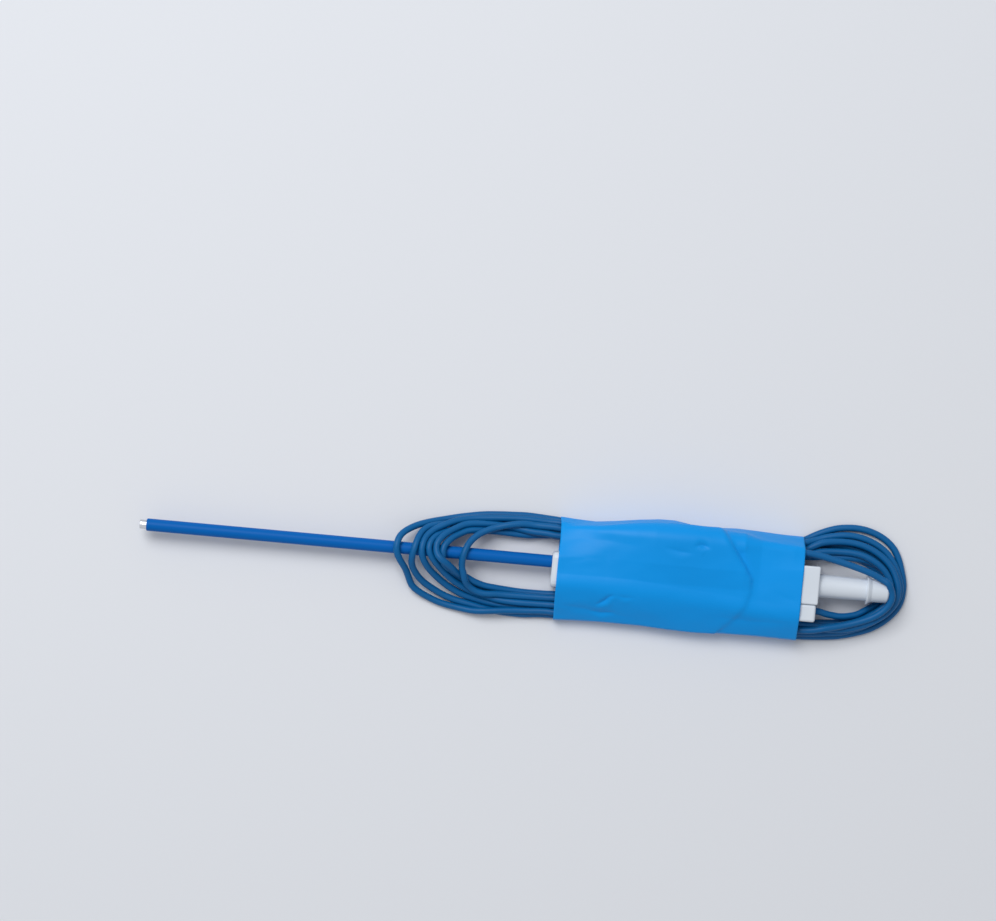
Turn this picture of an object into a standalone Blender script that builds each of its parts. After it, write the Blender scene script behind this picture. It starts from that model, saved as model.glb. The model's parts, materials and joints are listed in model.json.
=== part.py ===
"""Foot-switched suction coagulator, lying on its side with its cord wound round it and a film sleeve over both.

The instrument lies along X: the tip of the suction tube at -X, the hose connector at +X, the thumb vent on the +Y
side and +Z up. Sizes are in metres. Inside the file, X is measured from the nose of the handle and Y from the axis of
the suction tube; an empty then puts the middle of the instrument over the world origin.
"""

import math

import bmesh
import bpy
from mathutils import Matrix, Vector

# Clearances and facets
GAP = 0.0003  # between pieces that touch or are pressed together
CUT = 0.001  # how far a cutter runs past what it cuts
ROUND = 24  # facets round a turned piece
ARC_STEPS = 3  # facets on a rounded edge
EDGE_BREAK = 0.00012  # small chamfer on thin rims

# Suction tube: 10 French, six inches from the nose to the tip
TUBE_REACH = 0.1524
TUBE_RADIUS = 0.001665
TUBE_BORE_RADIUS = 0.0012
TUBE_IN_HANDLE = 0.0275
BARE_TIP = 0.0025
INSULATION_RADIUS = 0.0023
INSULATION_IN_HANDLE = 0.0085

# Handle: two half shells that meet in the plane of the tube's axis
HANDLE_LENGTH = 0.090
HANDLE_THICKNESS = 0.0130
NOSE_RISE = 0.0037
NOSE_DROP = 0.0092
CREST_RISE = 0.0058
GRIP_DROP = 0.0089
GRIP_X = 0.030
REAR_RISE = 0.00705
REAR_DROP = 0.0135
SHELL_WALL = 0.0014
EDGE_RADIUS = 0.0022
END_CHAMFER = 0.0006
SADDLE_THICKNESS = 0.0016
NOSE_SADDLE_X = 0.0046
CHANNEL_SADDLES_X = (0.044, 0.067)
SADDLE_OVERHANG = 0.0008
BOSS_RADIUS = 0.0012
BOSS_PIN_RADIUS = 0.0006
BOSS_PIN_LENGTH = 0.0018
NOSE_BOSS_DROP = 0.0059
BOSS_UNDER_CHANNEL = 0.0023
CHANNEL_BOSSES_X = (0.0605, 0.0745)

# Thumb vent and the channel that carries the suction under it
VENT_X = 0.033
DISH_HALF_LENGTH = 0.011
DISH_DEPTH = 0.0012
CHIMNEY_RADIUS = 0.0030
VENT_RADIUS = 0.0019
VENT_CHAMBER_RADIUS = 0.0017
CHANNEL_RADIUS = 0.0027
CHANNEL_BORE_RADIUS = 0.0015
CHANNEL_START = 0.0215
SOCKET_WALL = 0.0008
SOCKET_FLARE = 0.0015

# Hose connector
COLLAR_HALF_WIDTH = 0.00705
COLLAR_HALF_THICKNESS = 0.0063
COLLAR_LENGTH = 0.0080
COLLAR_EDGE = 0.0007
NECK_RADIUS = 0.0038
FLANGE_RADIUS = 0.0048
FLANGE_THICKNESS = 0.0015
SPIGOT_RADIUS = 0.0026
SPIGOT_LENGTH = 0.0070
SPIGOT_BORE_RADIUS = 0.0019
STEM_RADIUS = 0.0042
STEM_END_RADIUS = 0.0040
STEM_LENGTH = 0.0179
BARB_RADIUS = 0.0054
BARB_LENGTH = 0.0018
NOZZLE_RADIUS = 0.0043
NOZZLE_END_RADIUS = 0.0042
NOZZLE_LENGTH = 0.0063
NOZZLE_LIP = 0.0006
HOSE_BORE_RADIUS = 0.0026
SEAL_SECTION = 0.0006
SEAL_LENGTH = 0.0009
SEAL_SETBACK = 0.0022

# Cord grip, the block under the collar that the cord leaves through
CORD_RADIUS = 0.00125
CORD_CLEARANCE = 0.0002
CORD_DROP = 0.0094
GRIP_BLOCK_LENGTH = 0.0075
GRIP_BLOCK_HALF_THICKNESS = 0.0059
GRIP_BLOCK_EDGE = 0.0012
GRIP_NECK_RADIUS = 0.0020
GRIP_FLANGE_RADIUS = 0.00235
GRIP_FLANGE_THICKNESS = 0.0012

# Contact clip on the bare tube, with a crimp barrel for the conductor
CLIP_START = 0.0095
CLIP_LENGTH = 0.0050
CLIP_WALL = 0.0004
BARREL_RADIUS = 0.0011
BARREL_BORE_RADIUS = 0.0008
BARREL_SEAM = 0.0002
CONDUCTOR_RADIUS = 0.0005
CONDUCTOR_LENGTH = 0.0060

# Plug on the far end of the cord, lying on the upper bundle inside the sleeve
PLUG_Y = 0.0119
PLUG_FRONT = 0.034
PLUG_LENGTH = 0.036
PLUG_RADIUS = 0.00475
PLUG_WAIST_RADIUS = 0.0041
PLUG_NECK_RADIUS = 0.0032
PLUG_COLLAR_LENGTH = 0.0030
PLUG_WAIST_AT = 0.0080
PLUG_RIBS_AT = 0.0140
PLUG_RIBS = 6
PLUG_RIB_PITCH = 0.0022
PLUG_RIB_HEIGHT = 0.0004
PLUG_RIB_SLOPE = 0.0005
PIN_LENGTH = 0.0190
PIN_RADIUS = 0.0013
PIN_IN_PLUG = 0.0080
PIN_HEAD_RADIUS = 0.0018
PIN_HEAD_LENGTH = 0.0018
PIN_FLANGE_RADIUS = 0.0026
PIN_FLANGE_LENGTH = 0.0030
SPRING_WALL = 0.0003
SPRING_BULGE = 0.0004
SPRING_SLOT = 0.0005
SPRING_SLOT_SHARE = 0.7
RELIEF_LENGTH = 0.0130
RELIEF_RADIUS = 0.0026
RELIEF_END_RADIUS = 0.0020
RELIEF_SPIGOT_RADIUS = 0.0022
RELIEF_SPIGOT_LENGTH = 0.0060
RELIEF_GROOVES = 4
RELIEF_GROOVE_DEPTH = 0.0004
CORD_IN_RELIEF = 0.0028

# Film sleeve round the handle, the plug and both runs of the cord
SLEEVE_START = 0.0020
SLEEVE_PAST_HANDLE = 0.0018
SLEEVE_WALL = 0.0004
SLEEVE_FACETS = 72
SLEEVE_EDGE_RADIUS = 0.0016
SLEEVE_RISE = 0.0171
SLEEVE_DROP = 0.0201
UPPER_BUNDLE_HEIGHT = 0.0050
LOWER_BUNDLE_HEIGHT = 0.0093

# The handle rests on the inside of the sleeve, and the sleeve on the table
INSIDE_FLOOR = SLEEVE_WALL + GAP
AXIS_HEIGHT = INSIDE_FLOOR + HANDLE_THICKNESS / 2
PLUG_HEIGHT = INSIDE_FLOOR + UPPER_BUNDLE_HEIGHT + GAP + PLUG_RADIUS
COLLAR_START = HANDLE_LENGTH + GAP
COLLAR_END = COLLAR_START + COLLAR_LENGTH
NOZZLE_END = COLLAR_END + STEM_LENGTH + BARB_LENGTH + NOZZLE_LENGTH
FLANGE_START = HANDLE_LENGTH - SHELL_WALL - GAP - FLANGE_THICKNESS
SPIGOT_START = FLANGE_START - SPIGOT_LENGTH
SEAL_RADIUS = SPIGOT_RADIUS + GAP + SEAL_SECTION
BLOCK_END = COLLAR_START + GRIP_BLOCK_LENGTH
CLIP_RADIUS = TUBE_RADIUS + GAP + CLIP_WALL
BARREL_Y = -(CLIP_RADIUS + BARREL_RADIUS - BARREL_SEAM)
PLUG_REAR = PLUG_FRONT + PLUG_LENGTH
RELIEF_END = PLUG_REAR + GAP + RELIEF_LENGTH

# The hank's outer shape, at stations counted round it from the hose connector's end over the thumb side: outer X and
# Y, inner X and Y, lowest and highest. It climbs over the suction tube at the far end.
HANK_STATIONS = (
    (0.1318, 0.0010, 0.1266, 0.0000, 0.0, 0.0080),
    (0.1255, 0.0160, 0.1240, 0.0080, 0.0, 0.0080),
    (0.1080, 0.0225, 0.1120, 0.0100, 0.0, 0.0078),
    (0.0935, 0.0168, 0.0960, 0.0088, 0.0007, 0.0060),
    (0.0600, 0.0166, 0.0600, 0.0076, 0.0007, 0.0057),
    (0.0200, 0.0166, 0.0200, 0.0070, 0.0007, 0.0057),
    (0.0000, 0.0166, 0.0020, 0.0080, 0.0007, 0.0060),
    (-0.0300, 0.0162, -0.0180, 0.0103, 0.0020, 0.0074),
    (-0.0500, 0.0110, -0.0320, 0.0064, 0.0078, 0.0128),
    (-0.0588, 0.0000, -0.0365, 0.0000, 0.0106, 0.0156),
    (-0.0520, -0.0125, -0.0320, -0.0068, 0.0072, 0.0126),
    (-0.0310, -0.0207, -0.0170, -0.0112, 0.0020, 0.0078),
    (0.0000, -0.0197, 0.0020, -0.0103, 0.0007, 0.0066),
    (0.0300, -0.0197, 0.0300, -0.0104, 0.0007, 0.0066),
    (0.0580, -0.0197, 0.0580, -0.0120, 0.0007, 0.0080),
    (0.0760, -0.0197, 0.0760, -0.0138, 0.0007, 0.0092),
    (0.0900, -0.0197, 0.0920, -0.0144, 0.0007, 0.0098),
    (0.1080, -0.0190, 0.1080, -0.0130, 0.0, 0.0092),
    (0.1248, -0.0120, 0.1222, -0.0097, 0.0, 0.0085),
)
HANK_STEPS = 4  # facets between two stations
HANK_CORNER = 0.0012

# Stretches of the cord outside its hank. Each starts straight out of the piece that holds it
LEAD_OUT_ROUTE = (
    (BLOCK_END + GAP, -CORD_DROP, AXIS_HEIGHT),
    (0.1015, -0.0095, 0.0070),
    (0.1055, -0.0098, 0.0062),
    (0.1090, -0.0102, 0.0054),
    (0.1120, -0.0106, 0.0050),
)
PLUG_END_ROUTE = (
    (RELIEF_END - CORD_IN_RELIEF, PLUG_Y, PLUG_HEIGHT),
    (RELIEF_END, PLUG_Y, PLUG_HEIGHT),
    (RELIEF_END + 0.0040, PLUG_Y, PLUG_HEIGHT - 0.0004),
    (RELIEF_END + 0.0080, PLUG_Y, PLUG_HEIGHT - 0.0014),
    (RELIEF_END + 0.0110, PLUG_Y, PLUG_HEIGHT - 0.0027),
)
INSIDE_ROUTE = (
    (CLIP_START + CONDUCTOR_LENGTH + 2 * GAP, BARREL_Y),
    (0.0210, -0.0045),
    (0.0370, -0.0060),
    (0.0600, -0.0077),
    (0.0770, -0.0092),
    (0.0860, -CORD_DROP),
    (BLOCK_END - GAP, -CORD_DROP),
)
ROUTE_STEPS = 3  # points between two points of a route


def clear_scene():
    for thing in list(bpy.data.objects):
        bpy.data.objects.remove(thing, do_unlink=True)


def finish(name, color, roughness, metallic=0.0):
    made = bpy.data.materials.new(name)
    made.use_nodes = True
    shader = made.node_tree.nodes["Principled BSDF"]
    shader.inputs["Base Color"].default_value = (*color, 1.0)
    shader.inputs["Roughness"].default_value = roughness
    shader.inputs["Metallic"].default_value = metallic
    made.diffuse_color = (*color, 1.0)
    return made


def put(name, data, material, parent, location=(0.0, 0.0, 0.0)):
    thing = bpy.data.objects.new(name, data)
    thing.location = location
    thing.parent = parent
    if material:
        data.materials.append(material)
    bpy.context.collection.objects.link(thing)
    return thing


def mesh_from(bm, name, smooth_angle=math.radians(35)):
    bmesh.ops.recalc_face_normals(bm, faces=bm.faces)
    mesh = bpy.data.meshes.new(name)
    bm.to_mesh(mesh)
    bm.free()
    mesh.shade_smooth()
    mesh.set_sharp_from_angle(angle=smooth_angle)
    return mesh


def turned_mesh(name, profile, facets=ROUND):
    """A closed profile of (x, radius) turned about X. A radius of 0 becomes a single point."""
    bm = bmesh.new()
    rings = []
    for x, radius in profile:
        if radius == 0:
            rings.append([bm.verts.new((x, 0, 0))] * facets)
            continue
        turns = [2 * math.pi * k / facets for k in range(facets)]
        rings.append([bm.verts.new((x, radius * math.cos(a), radius * math.sin(a))) for a in turns])
    for ring, following in zip(rings, rings[1:] + rings[:1]):
        for k in range(facets):
            near = (k + 1) % facets
            corners = []
            for vert in (ring[k], ring[near], following[near], following[k]):
                if vert not in corners:
                    corners.append(vert)
            if len(corners) > 2:
                bm.faces.new(corners)
    return mesh_from(bm, name)


def loft_mesh(name, rings, closed=False):
    """Rings of as many points each, joined side by side. A closed loft joins its last ring to its first."""
    bm = bmesh.new()
    made = [[bm.verts.new(point) for point in ring] for ring in rings]
    count = len(made[0])
    pairs = list(zip(made, made[1:]))
    if closed:
        pairs.append((made[-1], made[0]))
    for ring, following in pairs:
        for k in range(count):
            near = (k + 1) % count
            bm.faces.new((ring[k], ring[near], following[near], following[k]))
    if not closed:
        bm.faces.new(made[0])
        bm.faces.new(made[-1])
    return mesh_from(bm, name)


def box_mesh(name, low, high, edge=0.0):
    bm = bmesh.new()
    bmesh.ops.create_cube(bm, size=1.0)
    low, high = Vector(low), Vector(high)
    stretch = Matrix.Diagonal((*(high - low), 1.0))
    bmesh.ops.transform(bm, matrix=Matrix.Translation((low + high) / 2) @ stretch, verts=bm.verts)
    if edge:
        bmesh.ops.bevel(bm, geom=bm.edges, offset=edge, segments=2, affect="EDGES", profile=0.5)
    return mesh_from(bm, name)


def rod_mesh(name, radius, start, end, facets=ROUND):
    """A plain cylinder between two points."""
    start, end = Vector(start), Vector(end)
    along = end - start
    bm = bmesh.new()
    bmesh.ops.create_cone(bm, cap_ends=True, segments=facets, radius1=radius, radius2=radius, depth=along.length)
    turn = along.to_track_quat("Z", "Y").to_matrix().to_4x4()
    bmesh.ops.transform(bm, matrix=Matrix.Translation((start + end) / 2) @ turn, verts=bm.verts)
    return mesh_from(bm, name)


def combine(target, name, mesh, operation):
    """Cuts or joins with a helper object in the target's own place, which stays hidden."""
    helper = put(f"{target.name}_{name}", mesh, None, target.parent, target.location)
    helper.hide_render = True
    helper.display_type = "WIRE"
    step = target.modifiers.new(name, "BOOLEAN")
    step.operation = operation
    step.solver = "EXACT"
    step.object = helper


def cut(target, name, mesh):
    combine(target, name, mesh, "DIFFERENCE")


def join(target, name, mesh):
    combine(target, name, mesh, "UNION")


def smooth_value(points, x):
    """Height at x of a smooth curve through (x, height) points."""
    if x <= points[0][0]:
        return points[0][1]
    if x >= points[-1][0]:
        return points[-1][1]
    k = max(i for i in range(len(points) - 1) if points[i][0] <= x)
    (x0, y0), (x1, y1) = points[k], points[k + 1]
    before, after = points[max(k - 1, 0)], points[min(k + 2, len(points) - 1)]
    slope_in = (y1 - before[1]) / (x1 - before[0])
    slope_out = (after[1] - y0) / (after[0] - x0)
    width = x1 - x0
    t = (x - x0) / width
    between = (2 * t**3 - 3 * t**2 + 1) * y0 + (3 * t**2 - 2 * t**3) * y1
    return between + width * ((t**3 - 2 * t**2 + t) * slope_in + (t**3 - t**2) * slope_out)


def smooth_points(points, steps, closed=False):
    """A Catmull-Rom curve through points of any length, with so many steps between two of them."""
    count = len(points)

    def at(index):
        return points[index % count] if closed else points[min(max(index, 0), count - 1)]

    out = []
    for span in range(count if closed else count - 1):
        corners = [at(span + k) for k in (-1, 0, 1, 2)]
        for step in range(steps):
            t = step / steps
            out.append(tuple(
                0.5 * (2 * b + (c - a) * t + (2 * a - 5 * b + 4 * c - d) * t**2 + (3 * b - a - 3 * c + d) * t**3)
                for a, b, c, d in zip(*corners)
            ))
    if not closed:
        out.append(tuple(points[-1]))
    return out


def handle_top(x):
    """The thumb side of the handle's outline, with the dish round the vent."""
    return smooth_value(
        (
            (0.0, NOSE_RISE),
            ((VENT_X - DISH_HALF_LENGTH) / 2, (NOSE_RISE + CREST_RISE) / 2),
            (VENT_X - DISH_HALF_LENGTH, CREST_RISE),
            (VENT_X, CREST_RISE - DISH_DEPTH),
            (VENT_X + DISH_HALF_LENGTH, CREST_RISE),
            (HANDLE_LENGTH, REAR_RISE),
        ),
        x,
    )


def handle_bottom(x):
    """The finger side of the handle's outline, hollowed for the grip and deepest at the cord."""
    return -smooth_value(
        (
            (0.0, NOSE_DROP),
            (GRIP_X, GRIP_DROP),
            ((GRIP_X + HANDLE_LENGTH) / 2, (GRIP_DROP + REAR_DROP) / 2),
            (FLANGE_START, REAR_DROP),
            (HANDLE_LENGTH, REAR_DROP),
        ),
        x,
    )


def half_section(x, inset, floor, side):
    """Half of the handle's section at x: from the parting plane round the back and up to the plane again."""
    low, high = handle_bottom(x) + inset, handle_top(x) - inset
    depth = HANDLE_THICKNESS / 2 - inset
    radius = max(EDGE_RADIUS - inset, EDGE_RADIUS / 4)
    turns = [math.pi / 2 * k / ARC_STEPS for k in range(ARC_STEPS + 1)]
    points = [(low, floor)]
    points += [(low + radius * (1 - math.cos(a)), depth - radius * (1 - math.sin(a))) for a in turns]
    points += [(high - radius * (1 - math.sin(a)), depth - radius * (1 - math.cos(a))) for a in turns]
    points.append((high, floor))
    return [(x, y, side * z) for y, z in points]


def stations(start, end, steps=24):
    return [start + (end - start) * k / steps for k in range(steps + 1)]


def handle_shell(name, side, material, root):
    """One half shell: a hollow half with saddles, welding bosses and half holes on the parting plane."""
    parting = GAP / 2
    ends = (END_CHAMFER, HANDLE_LENGTH - END_CHAMFER)
    rings = [half_section(x, 0.0, parting, side) for x in stations(*ends)]
    rings = [
        half_section(0.0, END_CHAMFER, parting, side),
        *rings,
        half_section(HANDLE_LENGTH, END_CHAMFER, parting, side),
    ]
    shell = put(name, loft_mesh(name, rings), material, root, (0.0, 0.0, AXIS_HEIGHT))
    inside = [half_section(x, SHELL_WALL, -CUT, side) for x in stations(SHELL_WALL, HANDLE_LENGTH - SHELL_WALL)]
    cut(shell, "hollow", loft_mesh(name + "_hollow", inside))

    back = HANDLE_THICKNESS / 2 - SHELL_WALL / 2
    saddles = [(NOSE_SADDLE_X, handle_bottom(NOSE_SADDLE_X) + SHELL_WALL / 2, INSULATION_RADIUS)]
    saddles += [(x, -CHANNEL_RADIUS - SADDLE_OVERHANG, CHANNEL_RADIUS) for x in CHANNEL_SADDLES_X]
    for k, (x, low, hole_radius) in enumerate(saddles):
        near, far = sorted((side * parting, side * back))
        high = handle_top(x) - SHELL_WALL / 2
        join(shell, f"saddle_{k}", box_mesh(f"{name}_saddle_{k}", (x, low, near), (x + SADDLE_THICKNESS, high, far)))
        ends = ((x - CUT, 0.0, 0.0), (x + SADDLE_THICKNESS + CUT, 0.0, 0.0))
        cut(shell, f"saddle_hole_{k}", rod_mesh(f"{name}_saddle_hole_{k}", hole_radius + GAP, *ends))

    bosses = [(NOSE_SADDLE_X + SADDLE_THICKNESS / 2, -NOSE_BOSS_DROP)]
    bosses += [(x, -CHANNEL_RADIUS - BOSS_UNDER_CHANNEL) for x in CHANNEL_BOSSES_X]
    for k, (x, y) in enumerate(bosses):
        ends = ((x, y, side * parting), (x, y, side * back))
        join(shell, f"boss_{k}", rod_mesh(f"{name}_boss_{k}", BOSS_RADIUS, *ends, facets=16))
        if side > 0:
            ends = ((x, y, -CUT), (x, y, BOSS_PIN_LENGTH + GAP))
            cut(shell, f"socket_{k}", rod_mesh(f"{name}_socket_{k}", BOSS_PIN_RADIUS + GAP, *ends, facets=12))
        else:
            ends = ((x, y, -BOSS_PIN_LENGTH / 2), (x, y, BOSS_PIN_LENGTH))
            join(shell, f"pin_{k}", rod_mesh(f"{name}_pin_{k}", BOSS_PIN_RADIUS, *ends, facets=12))

    wall = (HANDLE_LENGTH - SHELL_WALL - CUT, HANDLE_LENGTH + CUT)
    holes = (
        ("tube", INSULATION_RADIUS + GAP, -CUT, SHELL_WALL + CUT, 0.0),
        ("neck", NECK_RADIUS + GAP, *wall, 0.0),
        ("cord", GRIP_NECK_RADIUS + GAP, *wall, -CORD_DROP),
    )
    for what, radius, start, end, y in holes:
        cut(shell, f"{what}_hole", rod_mesh(f"{name}_{what}_hole", radius, (start, y, 0.0), (end, y, 0.0)))
    vent = rod_mesh(name + "_vent_hole", CHIMNEY_RADIUS + GAP, (VENT_X, 0.0, 0.0), (VENT_X, CREST_RISE + CUT, 0.0))
    cut(shell, "vent_hole", vent)
    return shell


def suction_tube(material, root):
    tip = -TUBE_REACH
    profile = (
        (tip, TUBE_BORE_RADIUS + EDGE_BREAK),
        (tip, TUBE_RADIUS - EDGE_BREAK),
        (tip + EDGE_BREAK, TUBE_RADIUS),
        (TUBE_IN_HANDLE, TUBE_RADIUS),
        (TUBE_IN_HANDLE, TUBE_BORE_RADIUS),
        (tip + EDGE_BREAK, TUBE_BORE_RADIUS),
    )
    put("suction_tube", turned_mesh("suction_tube", profile), material, root, (0.0, 0.0, AXIS_HEIGHT))


def tube_insulation(material, root):
    front = -TUBE_REACH + BARE_TIP
    inner = TUBE_RADIUS + GAP
    profile = (
        (front, inner),
        (front, INSULATION_RADIUS - EDGE_BREAK),
        (front + EDGE_BREAK, INSULATION_RADIUS),
        (INSULATION_IN_HANDLE, INSULATION_RADIUS),
        (INSULATION_IN_HANDLE, inner),
    )
    put("tube_insulation", turned_mesh("tube_insulation", profile), material, root, (0.0, 0.0, AXIS_HEIGHT))


def suction_channel(material, root):
    """The moulded channel inside the handle: a socket for the tube, the vent's chimney and a socket for the spigot."""
    socket = SEAL_RADIUS + GAP
    profile = (
        (CHANNEL_START, TUBE_RADIUS + GAP),
        (CHANNEL_START, CHANNEL_RADIUS),
        (SPIGOT_START - GAP - SOCKET_FLARE, CHANNEL_RADIUS),
        (SPIGOT_START - GAP, socket + SOCKET_WALL),
        (FLANGE_START - GAP, socket + SOCKET_WALL),
        (FLANGE_START - GAP, socket),
        (SPIGOT_START - GAP, socket),
        (SPIGOT_START - GAP, CHANNEL_BORE_RADIUS),
        (TUBE_IN_HANDLE + GAP, CHANNEL_BORE_RADIUS),
        (TUBE_IN_HANDLE + GAP, TUBE_RADIUS + GAP),
    )
    mesh = turned_mesh("suction_channel", profile)
    channel = put("suction_channel", mesh, material, root, (0.0, 0.0, AXIS_HEIGHT))
    foot, top = (VENT_X, 0.0, 0.0), (VENT_X, CREST_RISE - DISH_DEPTH, 0.0)
    join(channel, "chimney", rod_mesh("chimney", CHIMNEY_RADIUS, foot, top))
    ends = ((VENT_X - CHIMNEY_RADIUS - CUT, 0.0, 0.0), (VENT_X + CHIMNEY_RADIUS + CUT, 0.0, 0.0))
    cut(channel, "chamber", rod_mesh("chamber", VENT_CHAMBER_RADIUS, *ends))
    cut(channel, "vent", rod_mesh("vent", VENT_RADIUS, foot, (VENT_X, CREST_RISE + CUT, 0.0)))


def hose_connector(material, root):
    """A flat-sided collar with a barbed stem behind it and a flanged spigot in front."""
    low = (COLLAR_START, -COLLAR_HALF_WIDTH, -COLLAR_HALF_THICKNESS)
    high = (COLLAR_END, COLLAR_HALF_WIDTH, COLLAR_HALF_THICKNESS)
    mesh = box_mesh("hose_connector", low, high, COLLAR_EDGE)
    connector = put("hose_connector", mesh, material, root, (0.0, 0.0, AXIS_HEIGHT))
    barb_back = COLLAR_END + STEM_LENGTH
    barb_front = barb_back + BARB_LENGTH
    body = (
        (SPIGOT_START, 0.0),
        (SPIGOT_START, SPIGOT_RADIUS),
        (FLANGE_START, SPIGOT_RADIUS),
        (FLANGE_START, FLANGE_RADIUS),
        (FLANGE_START + FLANGE_THICKNESS, FLANGE_RADIUS),
        (FLANGE_START + FLANGE_THICKNESS, NECK_RADIUS),
        (COLLAR_START + COLLAR_LENGTH / 2, NECK_RADIUS),
        (COLLAR_END, STEM_RADIUS),
        (barb_back, STEM_END_RADIUS),
        (barb_back, BARB_RADIUS),
        (barb_back + EDGE_BREAK, BARB_RADIUS),
        (barb_front, NOZZLE_RADIUS),
        (NOZZLE_END - NOZZLE_LIP, NOZZLE_END_RADIUS),
        (NOZZLE_END, NOZZLE_END_RADIUS - NOZZLE_LIP),
        (NOZZLE_END, 0.0),
    )
    join(connector, "body", turned_mesh("connector_body", body))
    bore = (
        (SPIGOT_START - CUT, 0.0),
        (SPIGOT_START - CUT, SPIGOT_BORE_RADIUS),
        (COLLAR_START, SPIGOT_BORE_RADIUS),
        (COLLAR_END, HOSE_BORE_RADIUS),
        (NOZZLE_END + CUT, HOSE_BORE_RADIUS),
        (NOZZLE_END + CUT, 0.0),
    )
    cut(connector, "bore", turned_mesh("connector_bore", bore))


def channel_seal(material, root):
    start = SPIGOT_START + SEAL_SETBACK
    inner = SPIGOT_RADIUS + GAP
    middle = start + SEAL_LENGTH / 2
    profile = (
        (start, inner + SEAL_SECTION * 0.3),
        (start, SEAL_RADIUS - SEAL_SECTION * 0.3),
        (middle, SEAL_RADIUS),
        (start + SEAL_LENGTH, SEAL_RADIUS - SEAL_SECTION * 0.3),
        (start + SEAL_LENGTH, inner + SEAL_SECTION * 0.3),
        (middle, inner),
    )
    put("channel_seal", turned_mesh("channel_seal", profile), material, root, (0.0, 0.0, AXIS_HEIGHT))


def cord_grip(material, root):
    """The block that the cord leaves through, held in the shells' rear wall by a neck and a flange."""
    low = (COLLAR_START, -REAR_DROP, -GRIP_BLOCK_HALF_THICKNESS)
    high = (BLOCK_END, -COLLAR_HALF_WIDTH - GAP, GRIP_BLOCK_HALF_THICKNESS)
    mesh = box_mesh("cord_grip", low, high, GRIP_BLOCK_EDGE)
    grip = put("cord_grip", mesh, material, root, (0.0, 0.0, AXIS_HEIGHT))
    flange_back = HANDLE_LENGTH - SHELL_WALL - GAP
    pieces = (
        ("neck", GRIP_NECK_RADIUS, flange_back - GRIP_FLANGE_THICKNESS / 2, COLLAR_START + GRIP_BLOCK_LENGTH / 2),
        ("flange", GRIP_FLANGE_RADIUS, flange_back - GRIP_FLANGE_THICKNESS, flange_back),
    )
    for what, radius, start, end in pieces:
        join(grip, what, rod_mesh(f"grip_{what}", radius, (start, -CORD_DROP, 0.0), (end, -CORD_DROP, 0.0)))
    ends = ((flange_back - GRIP_FLANGE_THICKNESS - CUT, -CORD_DROP, 0.0), (BLOCK_END + CUT, -CORD_DROP, 0.0))
    cut(grip, "bore", rod_mesh("grip_bore", CORD_RADIUS + CORD_CLEARANCE, *ends))


def contact_clip(material, root):
    """A spring band on the bare tube with a crimp barrel along its side."""
    end = CLIP_START + CLIP_LENGTH
    inner = TUBE_RADIUS + GAP
    band = ((CLIP_START, inner), (CLIP_START, CLIP_RADIUS), (end, CLIP_RADIUS), (end, inner))
    clip = put("contact_clip", turned_mesh("contact_clip", band), material, root, (0.0, 0.0, AXIS_HEIGHT))
    ends = ((CLIP_START, BARREL_Y, 0.0), (end, BARREL_Y, 0.0))
    join(clip, "barrel", rod_mesh("clip_barrel", BARREL_RADIUS, *ends, facets=16))
    ends = ((CLIP_START - CUT, BARREL_Y, 0.0), (end + CUT, BARREL_Y, 0.0))
    cut(clip, "barrel_bore", rod_mesh("clip_barrel_bore", BARREL_BORE_RADIUS, *ends, facets=16))


def conductor(material, root):
    ends = ((CLIP_START + GAP, BARREL_Y, 0.0), (CLIP_START + GAP + CONDUCTOR_LENGTH, BARREL_Y, 0.0))
    put("cord_conductor", rod_mesh("cord_conductor", CONDUCTOR_RADIUS, *ends, facets=12), material, root,
        (0.0, 0.0, AXIS_HEIGHT))


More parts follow.
